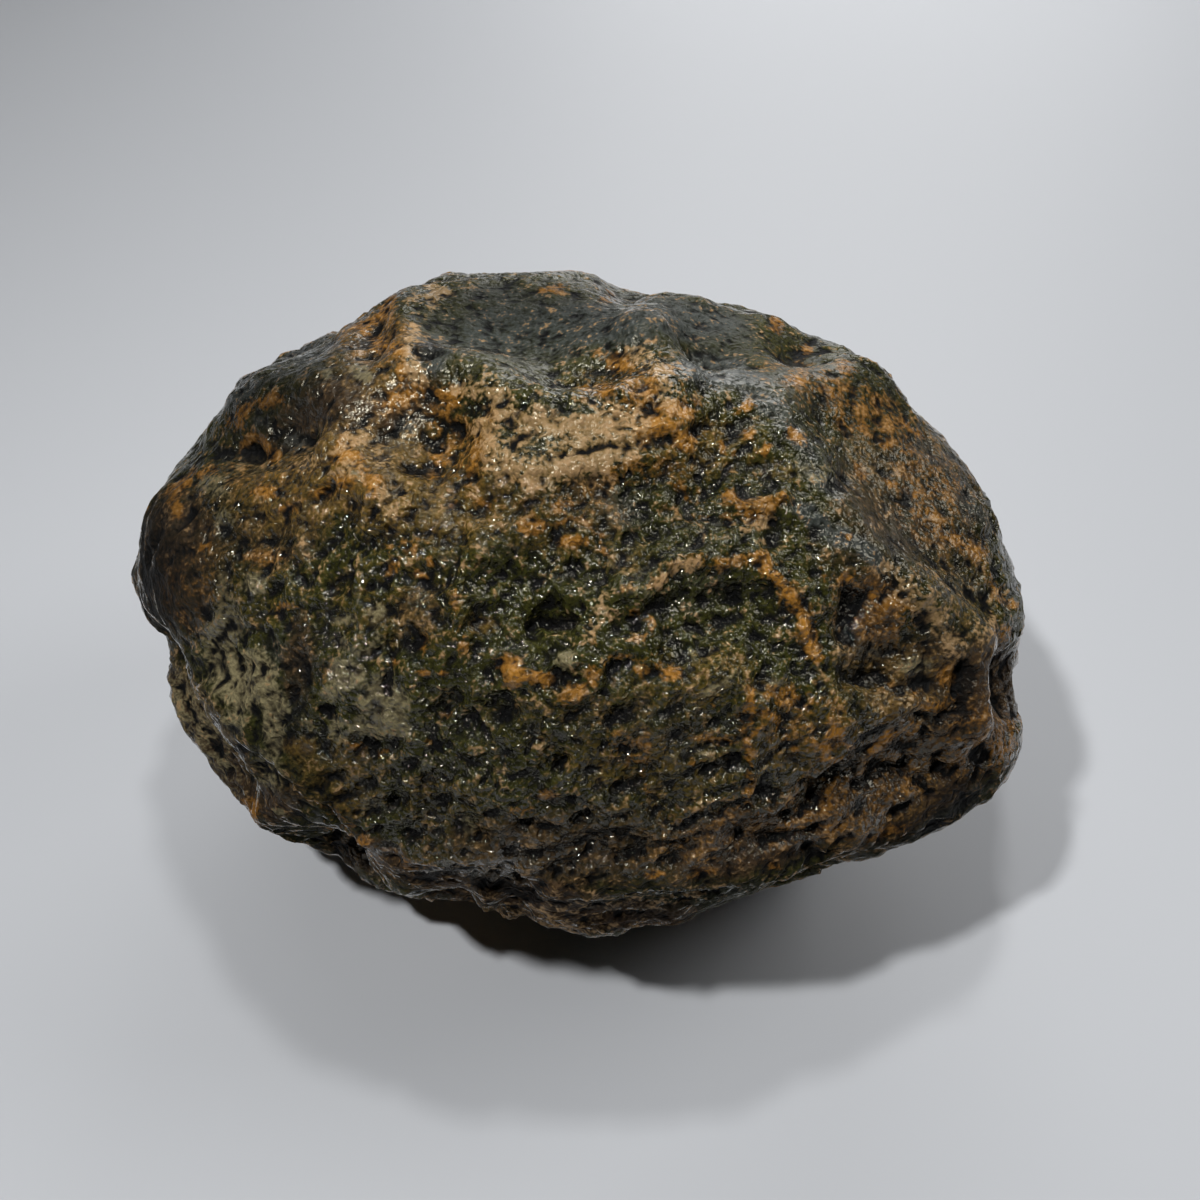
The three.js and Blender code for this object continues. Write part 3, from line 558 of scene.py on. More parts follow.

# Painted shade: where the stone's colour is darkened because less light falls there, from 0 to 1.
PAINTED_SHADE = (
    Spot(145, 570, 46, 110, 1.0), Spot(200, 560, 60, 100, 0.55), Spot(300, 690, 14, 70, 0.6),
    Spot(930, 820, 110, 30, 0.6, -32), Spot(560, 830, 240, 50, 0.32), Spot(820, 800, 150, 60, 0.54, -22),
    Spot(370, 780, 140, 70, 0.5, 20), Spot(500, 730, 130, 60, 0.3), Spot(270, 830, 80, 34, 0.5, 35),
    Spot(690, 750, 110, 50, 0.36), Spot(900, 640, 60, 70, 0.36), Spot(280, 400, 90, 50, 0.75, -35),
    Spot(520, 300, 150, 26, 0.4), Spot(620, 520, 150, 60, 0.25), Spot(980, 690, 40, 60, 0.35),
    Spot(230, 420, 60, 60, 0.4, -40), Spot(170, 480, 40, 50, 0.4), Spot(910, 450, 110, 80, 0.2, 35),
    Spot(960, 540, 70, 60, 0.22), Spot(480, 770, 160, 60, 0.25), Spot(390, 670, 120, 70, 0.2),
)

# Where the surface is smoother, as in the basin, and the lower front, where it is rougher.
SMOOTH = (
    Spot(520, 330, 150, 60), Spot(760, 360, 130, 50, 1.0, 20), Spot(300, 410, 140, 60, 0.8, -35),
    Spot(570, 445, 85, 40, 0.7), Spot(900, 480, 90, 120, 0.8, -35), Spot(170, 550, 60, 110, 0.7),
    Spot(960, 620, 50, 50, 0.6), Spot(400, 420, 80, 60, 0.5),
)
ROUGH_FRONT = Spot(580, 790, 330, 110, 0.9)

# The brow has few scattered pits. Down the front they grow between these two rows of the picture.
FEW_PITS = Spot(560, 390, 170, 110)
PITTED_FROM_ROW = 600
PITTED_BY_ROW = 800


@dataclass(frozen=True)
class Grain:
    """Unevenness that covers the whole rind: its height and the distance between bumps, in millimetres."""

    height: float
    period: float
    octaves: int = 2


@dataclass(frozen=True)
class Rind:
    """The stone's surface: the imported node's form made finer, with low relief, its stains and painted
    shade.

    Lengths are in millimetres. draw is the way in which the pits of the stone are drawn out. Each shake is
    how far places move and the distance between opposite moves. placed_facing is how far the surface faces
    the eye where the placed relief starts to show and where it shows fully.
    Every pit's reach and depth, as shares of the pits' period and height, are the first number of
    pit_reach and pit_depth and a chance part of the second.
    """

    node: str = "geode"
    weld: float = 0.01
    levels: int = 2
    fit_rounds: int = 3
    fit_share: float = 0.8
    draw: Place = (0.87, 0.35, 0.35)
    drawn_out: float = 0.45
    placed_facing: tuple[float, float] = (0.1, 0.45)
    drift_period: float = 4.0
    lump_drift: float = 0.9
    ridge_drift: float = 0.6
    pit_drift: float = 0.5
    lumps: Grain = Grain(0.75, 8.0)
    ridges: Grain = Grain(0.9, 4.6, 3)
    walls: Grain = Grain(0.6, 8.5)
    wall_breadth: float = 0.11
    pits: Grain = Grain(1.25, 4.4)
    pit_share: float = 0.55
    pit_reach: tuple[float, float] = (0.24, 0.5)
    pit_depth: tuple[float, float] = (0.6, 0.9)
    calm_share: float = 0.8
    roughest: float = -0.2
    edge_calm: float = 0.55
    edge_facing: float = 0.3
    relief_shake: tuple[float, float] = (0.9, 3.5)
    stain_shakes: tuple[tuple[float, float], ...] = ((1.3, 6.0), (0.6, 1.9))
    patch_period: float = 22.0
    foot_clear: float = 3.0
    broad_rounds: int = 60
    fine_rounds: int = 6
    smoothing: float = 0.6

    def build(self, view: PhotoView) -> bpy.types.Object:
        """Builds the stone's mesh and its stains.

        Args:
            view: The photograph's point of view, which places what is seen there.

        Returns:
            The finished piece, without its material.
        """
        mesh = self.fine_mesh()
        piece = bpy.data.objects.new("rind", mesh)
        bpy.context.scene.collection.objects.link(piece)
        points = self.points(mesh)
        normals = self.normals(mesh)
        seen = view.see(points, normals)
        placed = self.placed_relief(seen.shaken(points, *self.relief_shake))
        relief = placed * smoothstep(*self.placed_facing, seen.facing) + self.grown_relief(points, seen)
        off_ground = smoothstep(0.0, self.foot_clear * MM, points[:, 2])
        points += normals * (relief * off_ground * MM)[:, None]
        points[:, 2] = np.maximum(points[:, 2], 0.0)
        mesh.vertices.foreach_set("co", points.ravel())
        mesh.update()
        mesh.shade_smooth()
        self.stain(mesh, view)
        return piece

    def fine_mesh(self) -> bpy.types.Mesh:
        """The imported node's mesh, welded and subdivided so that it passes through its own corners.

        Returns:
            A new mesh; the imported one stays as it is.
        """
        welded = bmesh.new()
        welded.from_mesh(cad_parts[self.node].data)
        bmesh.ops.remove_doubles(welded, verts=welded.verts, dist=self.weld * MM)
        coarse = bpy.data.meshes.new("coarse_rind")
        welded.to_mesh(coarse)
        welded.free()
        holder = bpy.data.objects.new("coarse_rind", coarse)
        bpy.context.scene.collection.objects.link(holder)
        smooth = holder.modifiers.new("smooth", "SUBSURF")
        smooth.levels = self.levels
        wanted = self.points(coarse)
        pulled = wanted.copy()
        for _ in range(self.fit_rounds):
            coarse.vertices.foreach_set("co", pulled.ravel())
            coarse.update()
            fine = self.evaluated(holder)
            pulled += self.fit_share * (wanted - self.points(fine)[: len(wanted)])
            bpy.data.meshes.remove(fine)
        fine = self.evaluated(holder)
        bpy.data.objects.remove(holder)
        bpy.data.meshes.remove(coarse)
        fine.name = "rind"
        return fine

    @staticmethod
    def evaluated(holder: bpy.types.Object) -> bpy.types.Mesh:
        """Applies an object's modifiers to a copy of its mesh.

        Args:
            holder: The object, which stays as it is.

        Returns:
            The new mesh.
        """
        bpy.context.view_layer.update()
        graph = bpy.context.evaluated_depsgraph_get()
        return bpy.data.meshes.new_from_object(holder.evaluated_get(graph))

    @staticmethod
    def points(mesh: bpy.types.Mesh) -> np.ndarray:
        """Reads the mesh's corners.

        Args:
            mesh: The mesh.

        Returns:
            One row for each corner, in metres.
        """
        flat = np.empty(len(mesh.vertices) * 3)
        mesh.vertices.foreach_get("co", flat)
        return flat.reshape(-1, 3)

    @staticmethod
    def normals(mesh: bpy.types.Mesh) -> np.ndarray:
        """Reads the outward directions at the mesh's corners.

        Args:
            mesh: The mesh.

        Returns:
            One row for each corner.
        """
        flat = np.empty(len(mesh.vertices) * 3)
        mesh.vertex_normals.foreach_get("vector", flat)
        return flat.reshape(-1, 3)

    @staticmethod
    def placed_relief(seen: Seen) -> np.ndarray:
        """The relief that the photograph shows, in millimetres.

        Args:
            seen: Where the mesh's corners are seen.

        Returns:
            The height at each corner.
        """
        openings = np.maximum(strongest(FINE_SLITS, seen), strongest(FINE_PITS, seen))
        return strongest(FINE_CRESTS, seen) - openings

    def grown_relief(self, points: np.ndarray, seen: Seen) -> np.ndarray:
        """The unevenness and pits that cover the whole stone, in millimetres.

        Args:
            points: The mesh's corners, in metres.
            seen: Where they are seen.

        Returns:
            The height at each corner.
        """
        along = unit(np.array([self.draw]))[0]
        drawn = points - (points @ along)[:, None] * along * self.drawn_out
        moves = drifts(points, self.drift_period)
        moved = points + self.lump_drift * MM * moves
        relief = self.lumps.height * self.lump_shape(moved)
        relief += self.ridges.height * self.ridge_shape(drawn + self.ridge_drift * MM * moves)
        relief += self.walls.height * self.wall_shape(moved)
        edge = smoothstep(self.edge_facing, 0.0, np.abs(seen.facing))
        rough = 1.0 - self.calm_share * np.maximum(self.calm(seen), self.roughest)
        rough *= 1.0 - self.edge_calm * edge
        pits = self.pits.height * self.pit_shape(drawn + self.pit_drift * MM * moves)
        return relief * rough - pits * self.pitted(seen)

    @staticmethod
    def calm(seen: Seen) -> np.ndarray:
        """How calm the surface is.

        Args:
            seen: Where the mesh's corners are seen.

        Returns:
            Up to 1 where it is smoother, and below 0 where it is rougher.
        """
        return (strongest(SMOOTH, seen) - ROUGH_FRONT.at(seen)) * seen.shown

    @staticmethod
    def pitted(seen: Seen) -> np.ndarray:
        """How strongly the scattered pits show.

        Args:
            seen: Where the mesh's corners are seen.

        Returns:
            1 in the lower front and where nothing is seen, and least on the brow.
        """
        high = 1.0 - smoothstep(PITTED_FROM_ROW, PITTED_BY_ROW, seen.y)
        return 1.0 - seen.shown * high * (0.3 + 0.55 * FEW_PITS.at(seen))

    def lump_shape(self, moved: np.ndarray) -> np.ndarray:
        """Soft lumps, about 1 high at most, at the mesh's corners moved about a little."""
        rows = moved / (self.lumps.period * MM)
        return np.array([noise.fractal(Vector(row), 0.9, 2.0, self.lumps.octaves) for row in rows])

    def ridge_shape(self, drawn: np.ndarray) -> np.ndarray:
        """Sharp ridges with wide valleys, which are mostly below 0.

        Args:
            drawn: The mesh's corners, shortened in the way that the pits are drawn out.

        Returns:
            The shape at each corner.
        """
        octaves = self.ridges.octaves
        rows = drawn / (self.ridges.period * MM)
        ridges = [noise.ridged_multi_fractal(Vector(row), 0.9, 2.1, octaves, 1.0, 1.4) for row in rows]
        return np.array(ridges) - 1.0

    def wall_shape(self, moved: np.ndarray) -> np.ndarray:
        """Thin walls between the cells of a pattern that fills space, broken here and there.

        Args:
            moved: The mesh's corners, moved about a little.

        Returns:
            The shape at each corner, up to 1.
        """
        shape = np.zeros(len(moved))
        for index, row in enumerate(moved / (self.walls.period * MM)):
            gaps, _ = noise.voronoi(Vector(row))
            across = (gaps[1] - gaps[0]) / self.wall_breadth
            if across < 2.5:
                kept = min(1.0, max(0.0, 0.5 + 2.0 * noise.noise(Vector(row) * 0.8)))
                shape[index] = kept * math.exp(-across * across)
        return shape

    def pit_shape(self, drawn: np.ndarray) -> np.ndarray:
        """Scattered pits: one in some of the cells that fill space, deep in its middle.

        Args:
            drawn: The mesh's corners, shortened in the way that the pits are drawn out.

        Returns:
            How deep each corner lies, up to about 1.
        """
        depths = np.zeros(len(drawn))
        for index, row in enumerate(drawn / (self.pits.period * MM)):
            gaps, middles = noise.voronoi(Vector(row))
            chance = noise.cell(middles[0] * 7.31)
            if chance < self.pit_share:
                reach = self.pit_reach[0] + self.pit_reach[1] * chance
                depth = self.pit_depth[0] + self.pit_depth[1] * chance
                depths[index] = max(0.0, 1.0 - (gaps[0] / reach) ** 2) * depth
        return depths

    def standing(self, mesh: bpy.types.Mesh, rounds: int) -> np.ndarray:
        """How far each corner stands out of the smoothed surface.

        Args:
            mesh: The finished mesh.
            rounds: How many times the surface is smoothed; more rounds compare it with wider forms.

        Returns:
            The height above the smoothed surface, in millimetres.
        """
        points = self.points(mesh)
        ends = np.empty(len(mesh.edges) * 2, dtype=np.int32)
        mesh.edges.foreach_get("vertices", ends)
        one, other = ends.reshape(-1, 2).T
        count = np.bincount(ends, minlength=len(points))[:, None]
        smoothed = points.copy()
        for _ in range(rounds):
            total = np.stack(
                [
                    np.bincount(one, smoothed[other, axis], len(points))
                    + np.bincount(other, smoothed[one, axis], len(points))
                    for axis in range(3)
                ],
                axis=1,
            )
            smoothed = (1.0 - self.smoothing) * smoothed + self.smoothing * total / count
        return ((points - smoothed) * self.normals(mesh)).sum(axis=1) / MM

    @staticmethod
    def grown_stains(broad: np.ndarray, patch: np.ndarray) -> dict[Mark, np.ndarray]:
        """The stains of the sides that the photograph doesn't show.

        Args:
            broad: How far the surface stands out of the smoothed one, in millimetres.
            patch: Slow noise from about -1 to 1, which decides where the patches lie.

        Returns:
            Each kind's strength: rust and pale stains on what stands out, painted black shade in what
            sinks in.
        """
        return {
            Mark.GOLD: smoothstep(0.0, 0.7, broad) * (0.5 + 0.5 * patch),
            Mark.RUST: smoothstep(0.25, 1.1, broad) * (0.75 + 0.6 * patch),
            Mark.PEACH: smoothstep(0.9, 1.8, broad) * 0.8,
            Mark.OLIVE: smoothstep(0.15, 0.5, patch) * 0.7,
            Mark.GREY_AND_SHEEN: smoothstep(-0.1, -0.5, patch) * 0.6,
            Mark.BROWN: smoothstep(-0.3, 0.4, patch) * 0.7,
            # Painted shade where the surface sinks below the smoothed one.
            Mark.SHADE_BLACK: smoothstep(-0.5, -1.6, broad) * 0.6,
        }

    def stain(self, mesh: bpy.types.Mesh, view: PhotoView) -> None:
        """Writes each kind of stain, the painted shade, and how the surface lies, as attributes of the
        mesh.

        Args:
            mesh: The finished mesh.
            view: The photograph's point of view.
        """
        points = self.points(mesh)
        seen = view.see(points, self.normals(mesh))
        sunk = seen.shaken(points, *self.relief_shake)
        shaken = seen
        for shake in self.stain_shakes:
            shaken = shaken.shaken(points, *shake)
        patch = np.array([noise.noise(Vector(row) / (self.patch_period * MM)) for row in points])
        grown = self.grown_stains(self.standing(mesh, self.broad_rounds), patch)
        for mark, stains in STAINS.items():
            placed = strongest(stains, shaken)
            # Painted shade is also laid into the slits and pits.
            if mark is Mark.SHADE_BLACK:
                openings = strongest(FINE_SLITS + FINE_PITS, sunk)
                placed = np.maximum(placed, smoothstep(0.2, 1.0, openings))
            self.write(mesh, mark.value, placed * seen.shown + grown[mark] * (1.0 - seen.shown))
        self.write(mesh, "crest", smoothstep(-0.35, 0.35, self.standing(mesh, self.fine_rounds)))
        self.write(mesh, "calm", self.calm(seen))
        self.write(mesh, "dull", strongest(DULL, shaken) * seen.shown)
        # Painted shade where less light falls on the stone.
        self.write(mesh, "painted_shade", strongest(PAINTED_SHADE, shaken) * seen.shown)

    @staticmethod
    def write(mesh: bpy.types.Mesh, name: str, values: np.ndarray) -> None:
        """Writes numbers, one for each corner, as an attribute of the mesh."""
        attribute = mesh.attributes.new(name, "FLOAT", "POINT")
        attribute.data.foreach_set("value", values.astype(np.float32))


class Shade:
    """A value, colour or vector in a material, on which sums are written as Python expressions."""

    def __init__(self, graph: "Graph", socket: bpy.types.NodeSocket) -> None:
        """Wraps an output socket of a node in a graph."""
        self.graph = graph
        self.socket = socket

    def _math(self, operation: str, *values: "Shade | float") -> "Shade":
        """Adds a Math node for one operation on values."""
        return self.graph.node("Math", {"operation": operation}, dict(enumerate(values)))

    def __add__(self, other: "Shade | float") -> "Shade":
        """self + other"""
        return self._math("ADD", self, other)

    __radd__ = __add__

    def __sub__(self, other: "Shade | float") -> "Shade":
        """self - other"""
        return self._math("SUBTRACT", self, other)

    def __rsub__(self, other: "Shade | float") -> "Shade":
        """other - self"""
        return self._math("SUBTRACT", other, self)

    def __mul__(self, other: "Shade | float") -> "Shade":
        """self * other"""
        return self._math("MULTIPLY", self, other)

    __rmul__ = __mul__

    def __abs__(self) -> "Shade":
        """abs(self)"""
        return self._math("ABSOLUTE", self)

    def step(self, low: float, high: float) -> "Shade":
        """Rises smoothly from 0 at low to 1 at high.

        Args:
            low: Where the rise starts.
            high: Where it ends. It may be below low, and then the value falls.

        Returns:
            The mapped value.
        """
        settings = {"interpolation_type": "SMOOTHSTEP"}
        ends = {"Value": self, "From Min": low, "From Max": high, "To Min": 0.0, "To Max": 1.0}
        return self.graph.node("MapRange", settings, ends)


class Graph:
    """The nodes of one material. Every node but the shader comes from its method node."""

    def __init__(self, name: str) -> None:
        """Makes a new material with only a Principled shader in it.

        Args:
            name: The material's name.
        """
        self.material = bpy.data.materials.new(name)
        self.material.use_nodes = True
        self.tree = self.material.node_tree
        self.shader = self.tree.nodes["Principled BSDF"]

    def node(self, kind: str, settings: dict, inputs: dict, output: int | str = 0) -> Shade:
        """Adds a shader node.

        Args:
            kind: The node's type, without the words ShaderNode.
            settings: Its own settings, which are set first.
            inputs: Its sockets, by name or place, with a number, colour, vector or Shade for each.
            output: The socket that the result is read from.

        Returns:
            The result, to go on working with.
        """
        added = self.tree.nodes.new("ShaderNode" + kind)
        for name, value in settings.items():
            setattr(added, name, value)
        for name, value in inputs.items():
            self.feed(added.inputs[name], value)
        return Shade(self, added.outputs[output])

    def feed(self, socket: bpy.types.NodeSocket, value: object) -> None:
        """Links a Shade to a socket, or sets the socket's own value.

        Args:
            socket: An input socket of a node.
            value: A Shade, number, colour or vector.
        """
        if isinstance(value, Shade):
            self.tree.links.new(value.socket, socket)
        else:
            socket.default_value = value

    def set_shader(self, inputs: dict) -> None:
        """Feeds sockets of the material's own shader, by their names.

        Args:
            inputs: A number, colour, vector or Shade for each.
        """
        for name, value in inputs.items():
            self.feed(self.shader.inputs[name], value)

    def blend(self, share: Shade, other: Shade) -> None:
        """Mixes another shader into the material's own.

        Args:
            share: How much there is of the other.
            other: The other shader's output.
        """
        own = Shade(self, self.shader.outputs[0])
        mixed = self.node("MixShader", {}, {0: share, 1: own, 2: other})
        self.feed(self.tree.nodes["Material Output"].inputs["Surface"], mixed)

    def attribute(self, name: str) -> Shade:
        """The values of one of the mesh's attributes."""
        return self.node("Attribute", {"attribute_name": name}, {}, "Fac")

    def place(self) -> Shade:
        """The place on the object, in metres."""
        return self.node("TexCoord", {}, {}, "Object")

    def noise(self, place: Shade, period: float, detail: float, rough: float = 0.6) -> Shade:
        """Cloudy noise.

        Args:
            place: Where it is read.
            period: The distance between its clouds, in millimetres.
            detail: How many finer layers it has.
            rough: How strong those are.

        Returns:
            Values around 0, mostly between -1 and 1.
        """
        sockets = {"Vector": place, "Scale": 1 / (period * MM), "Detail": detail, "Roughness": rough}
        return self.node("TexNoise", {}, sockets, "Fac") * 4.0 - 2.0

    def knobs(self, place: Shade, period: float) -> Shade:
        """Rounded knobs with creases between them.

        Args:
            place: Where they are read.
            period: The distance between knobs, in millimetres.

        Returns:
            Values from about 0.8 on the knobs down to -1 in the creases.
        """
        sockets = {"Vector": place, "Scale": 1 / (period * MM)}
        away = self.node("TexVoronoi", {}, sockets, "Distance")
        return 0.8 - 2.4 * away * away

    def pushed(self, place: Shade, amount: Shade, reach: Place) -> Shade:
        """Pushes a place about.

        Args:
            place: The place.
            amount: How far it is pushed, from about -1 to 1.
            reach: The push at an amount of 1, in millimetres.

        Returns:
            The new place.
        """
        push = self.node("CombineXYZ", {}, {axis: amount * (reach[axis] * MM) for axis in range(3)})
        return self.node("VectorMath", {"operation": "ADD"}, {0: push, 1: place})

    def mix(self, share: Shade | float, one: Shade | Colour, other: Shade | Colour) -> Shade:
        """Mixes two colours; share is how much there is of the other."""
        colours = {6: self.opaque(one), 7: self.opaque(other)}
        return self.node("Mix", {"data_type": "RGBA"}, {0: share, **colours}, 2)

    @staticmethod
    def opaque(colour: Shade | Colour) -> object:
        """A colour with its alpha, or a Shade as it is."""
        return colour if isinstance(colour, Shade) else (*colour, 1.0)


@dataclass(frozen=True)
class Stain:
    """How one kind of stain looks, and how it lies on the rind.

    Its colour goes from deep, in creases, to bright, on knobs, as the shade of mottle and relief goes
    through shades; the darker creases are partly painted shade. The share fields for mottle and relief and
    for the stain's own strength are what these add to that shade. fray is how ragged its edge is, spread
    what it gains everywhere, and most how well it covers where it is thickest.
    """

    mark: Mark
    deep: Colour
    bright: Colour
    shades: tuple[float, float]
    fray: float
    spread: float = 0.0
    most: float = 0.9
    grain_and_shade_share: float = 1.0
    own_share: float = 0.0

    def lay(self, under: Shade, ragged: Shade, grain_and_shade: Shade) -> Shade:
        """Lays the stain over a colour, with a ragged edge.

        Args:
            under: The colour below.
            ragged: What frays its edge.
            grain_and_shade: The shade of the rind's mottle and relief, partly painted shade in creases.

        Returns:
            The colour with the stain on it.
        """
        graph = under.graph
        strength = graph.attribute(self.mark.value)
        shade = grain_and_shade * self.grain_and_shade_share + strength * self.own_share if self.own_share else grain_and_shade
        colour = graph.mix(shade.step(*self.shades), self.deep, self.bright)
        covered = (strength + (ragged * self.fray + self.spread)).step(0.25, 0.9)
        return graph.mix(covered * self.most, under, colour)


BLACK = (0.007, 0.0075, 0.004)
# Black of the painted shade.
SHADE_BLACK = (0.005, 0.005, 0.005)
DARK_BROWN = (0.036, 0.022, 0.014)
GOLD = (0.172, 0.104, 0.020)

# The stains below and above the tan flecks, from the lowest to the highest, and the painted black shade
# laid into the openings.
LOW_STAINS = (
    Stain(Mark.BROWN, DARK_BROWN, (0.102, 0.059, 0.029), (-0.7, 1.0), 0.6, 0.12),
    # A greyish stain, partly the stone's own colour and partly a painted sheen.
    Stain(Mark.GREY_AND_SHEEN, BLACK, (0.060, 0.068, 0.066), (-0.9, 0.7), 0.8, most=0.85),
    Stain(Mark.GOLD, DARK_BROWN, GOLD, (-0.8, 0.9), 0.65, 0.12),
)
HIGH_STAINS = (
    Stain(Mark.OLIVE, DARK_BROWN, (0.24, 0.205, 0.110), (-0.9, 0.6), 0.8),
    Stain(Mark.RUST, (0.110, 0.050, 0.012), (0.50, 0.225, 0.034), (0.1, 1.6), 1.2, 0.03, 0.92, 0.7, 0.75),
    Stain(Mark.PEACH, GOLD, (0.40, 0.258, 0.130), (-0.8, 0.7), 1.5, most=0.8),
)
OPENINGS = Stain(Mark.SHADE_BLACK, SHADE_BLACK, SHADE_BLACK, (-1.0, 1.0), -0.6, most=0.85)


@dataclass(frozen=True)
class WetRind:
    """The finish of the rind: deep green-black stone, stained, with painted shade in its creases and
    openings and where less light falls, and a film of water on it.

    Periods are in millimetres, and the heights are those of the finest relief, in millimetres too.
    """

    olive_green: Colour = (0.052, 0.051, 0.010)
    fleck: Colour = (0.19, 0.128, 0.034)
    film_tint: Colour = (1.0, 0.95, 0.76)
    fold_period: float = 1.9
    knob_period: float = 2.5
    knob_push: Place = (0.7, -0.5, 0.4)
    mottle_period: float = 3.0
    speck_period: float = 0.75
    knob_height: float = 0.29
    wrinkle_height: float = 0.25
    speck_height: float = 0.09
    film_ior: float = 1.5
    film_roughness: float = 0.055
    mottled_roughness: float = 0.03
    calm_roughness: float = 0.26
    dull_ior: float = 1.13
    dull_roughness: float = 0.6

    def make(self) -> bpy.types.Material:
        """Makes the material.

        Returns:
            The material, which reads the stains from the mesh's attributes.
        """
        graph = Graph("wet_rind")
        place = graph.place()
        folds = graph.noise(place, self.fold_period, 1.0, 0.5)
        wrinkles = 0.7 - 1.6 * abs(folds)
        knobs = graph.knobs(graph.pushed(place, folds, self.knob_push), self.knob_period)
        mottle = graph.noise(place, self.mottle_period, 2.0)
        speck = graph.noise(place, self.speck_period, 1.5)
        crest = graph.attribute("crest") * 2.0 - 1.0
        calm = graph.attribute("calm")

        lift = knobs * 0.4 + wrinkles * 0.35 + speck * 0.15 + crest * 0.4
        ragged = mottle * 0.34 + speck * 0.26 + lift * 0.14
        # Shade of mottle and relief: every colour below is darker in creases and lighter on knobs, partly
        # painted shade.
        grain_and_shade = lift * 0.55 + speck * 0.3 + mottle * 0.3
        # Painted shade: the sunken places of the relief, which are darkened towards black; they also dull
        # the film further down.
        shaded_hollows = (crest * 0.6 + knobs * 0.35 + wrinkles * 0.25).step(0.05, -0.6)

        # Base colour, from black in creases to olive green on knobs, partly painted shade.
        colour = graph.mix(grain_and_shade.step(-0.6, 0.9), BLACK, self.olive_green)
        for stain in LOW_STAINS:
            colour = stain.lay(colour, ragged, grain_and_shade)
        colour = graph.mix((grain_and_shade - mottle * 0.2).step(0.5, 1.3) * 0.25, colour, self.fleck)
        for stain in HIGH_STAINS:
            colour = stain.lay(colour, ragged, grain_and_shade)
        # Painted shade: black in the sunken places, then in the slits and pits.
        colour = OPENINGS.lay(graph.mix(shaded_hollows, colour, SHADE_BLACK), ragged, grain_and_shade)
        # Painted shade: darkened towards black where less light falls.
        colour = graph.mix(graph.attribute("painted_shade") * 0.85, colour, SHADE_BLACK)

        height = knobs * self.knob_height + wrinkles * self.wrinkle_height + speck * self.speck_height
        relief = {"Strength": 1.0, "Distance": MM, "Height": height * (1.0 - calm * 0.5)}
        skin = {"Base Color": colour, "Normal": graph.node("Bump", {}, relief)}
        roughness = self.film_roughness + mottle * self.mottled_roughness
        roughness += calm.step(0.0, 1.0) * self.calm_roughness
        film = {"IOR": self.film_ior, "Specular Tint": (*self.film_tint, 1.0), "Roughness": roughness}
        graph.set_shader({**skin, **film})
        dry = {"IOR": self.dull_ior, "Roughness": self.dull_roughness}
        dull = graph.node("BsdfPrincipled", {}, {**skin, **dry})
        graph.blend((graph.attribute("dull") + ragged * 0.3 + shaded_hollows * 0.6).step(0.15, 0.9), dull)
        return graph.material


@dataclass(frozen=True)
class Lamp:
    """A square soft lamp: the direction from the stone to it, its distance and side, and its power."""

    name: str
    towards: Place
    away: float
    side: float
    watts: float

    def hang(self, middle: Place) -> None:
        """Hangs the lamp so that it shines at a place.

        Args:
            middle: The place, in metres.
        """
        data = bpy.data.lights.new(self.name, "AREA")
        data.energy = self.watts
        data.size = self.side
        lamp = bpy.data.objects.new(self.name, data)
        direction = Vector(self.towards).normalized()
        lamp.location = Vector(middle) + direction * self.away
        lamp.rotation_mode = "QUATERNION"
        lamp.rotation_quaternion = (-direction).to_track_quat("-Z", "Y")
        bpy.context.scene.collection.objects.link(lamp)


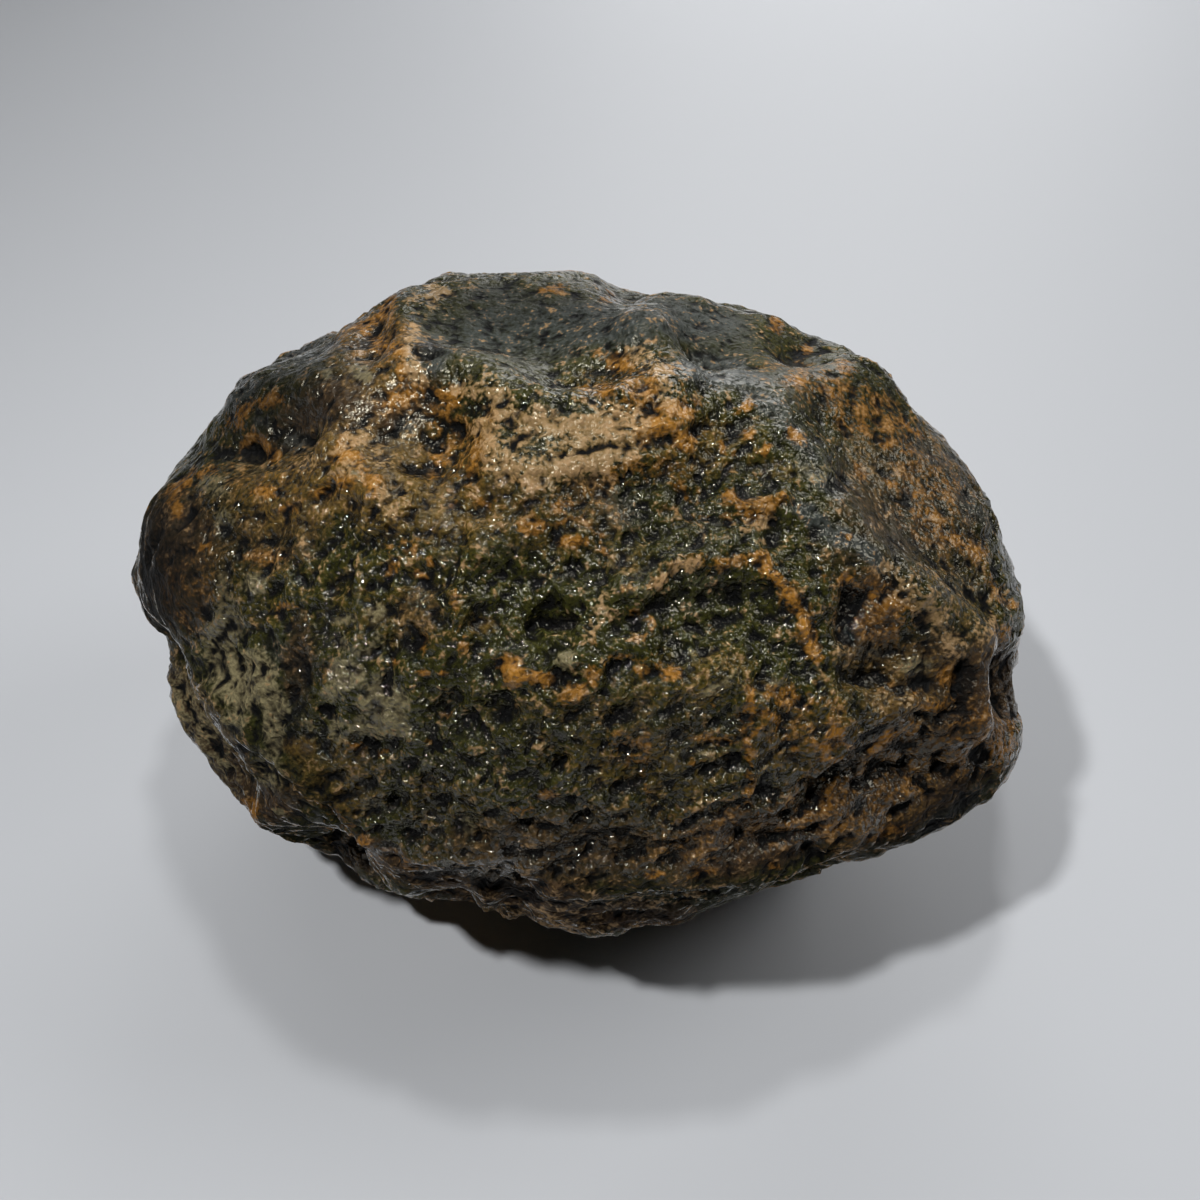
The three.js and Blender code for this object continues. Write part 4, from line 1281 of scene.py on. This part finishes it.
@dataclass(frozen=True)
class Studio:
    """The pale floor, which curves up behind the stone, and the soft lights. Lengths are in metres."""

    half_width: float = 1.3
    front: float = -1.6
    bend_at: float = 0.62
    bend: float = 0.3
    bend_steps: int = 12
    top: float = 0.9
    floor_colour: Colour = (0.545, 0.56, 0.585)
    floor_roughness: float = 0.6
    sky_colour: Colour = (0.80, 0.88, 1.0)
    sky_strength: float = 0.006
    middle: Place = (0.0, 0.0, 0.06)
    lamps: tuple[Lamp, ...] = (
        Lamp("key_light", (-0.20, -0.205, 0.54), 0.6, 0.03, 2.42),
        Lamp("top_light", (0.02, 0.0, 1.0), 0.42, 0.035, 0.45),
        Lamp("rear_light", (0.25, 1.0, 0.45), 0.85, 0.5, 2.6),
        Lamp("right_light", (0.9, 0.15, 0.75), 0.9, 0.4, 2.5),
        Lamp("left_light", (-0.3, 0.8, 1.0), 0.9, 0.6, 0.8),
    )

    def build(self) -> None:
        """Makes the floor, the lights and the sky, and sets how the picture is developed."""
        self.floor()
        for lamp in self.lamps:
            lamp.hang(self.middle)
        world = bpy.data.worlds.new("sky")
        bpy.context.scene.world = world
        world.use_nodes = True
        sky = world.node_tree.nodes["Background"]
        sky.inputs["Color"].default_value = (*self.sky_colour, 1.0)
        sky.inputs["Strength"].default_value = self.sky_strength
        bpy.context.scene.view_settings.view_transform = "Standard"

    def floor(self) -> None:
        """Makes the floor and the sweep behind it, which are no part of the object."""
        line = [(self.front, 0.0)]
        for step in range(self.bend_steps + 1):
            angle = math.pi / 2 * step / self.bend_steps
            line.append((self.bend_at + self.bend * math.sin(angle), self.bend * (1 - math.cos(angle))))
        line.append((self.bend_at + self.bend, self.top))
        corners = [(side * self.half_width, y, z) for y, z in line for side in (-1, 1)]
        faces = [(2 * i, 2 * i + 1, 2 * i + 3, 2 * i + 2) for i in range(len(line) - 1)]
        mesh = bpy.data.meshes.new("floor")
        mesh.from_pydata(corners, [], faces)
        mesh.shade_smooth()
        floor = bpy.data.objects.new("floor", mesh)
        bpy.context.scene.collection.objects.link(floor)
        graph = Graph("pale_floor")
        graph.set_shader({"Base Color": (*self.floor_colour, 1.0), "Roughness": self.floor_roughness})
        mesh.materials.append(graph.material)
        LOG.info("floor: %d faces", len(faces))


def main() -> None:
    """Builds the stone, dresses it, sets the stage and logs the mesh's counts."""
    logging.basicConfig(level=logging.INFO, format="%(name)s: %(message)s")
    noise.seed_set(NOISE_SEED)
    view = PhotoView()
    piece = Rind().build(view)
    piece.data.materials.clear()
    piece.data.materials.append(WetRind().make())
    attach(piece, "root")
    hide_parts("geode")
    LOG.info("rind: %d corners, %d faces", len(piece.data.vertices), len(piece.data.polygons))
    Studio().build()
    view.camera()


if __name__ == "__main__":
    main()
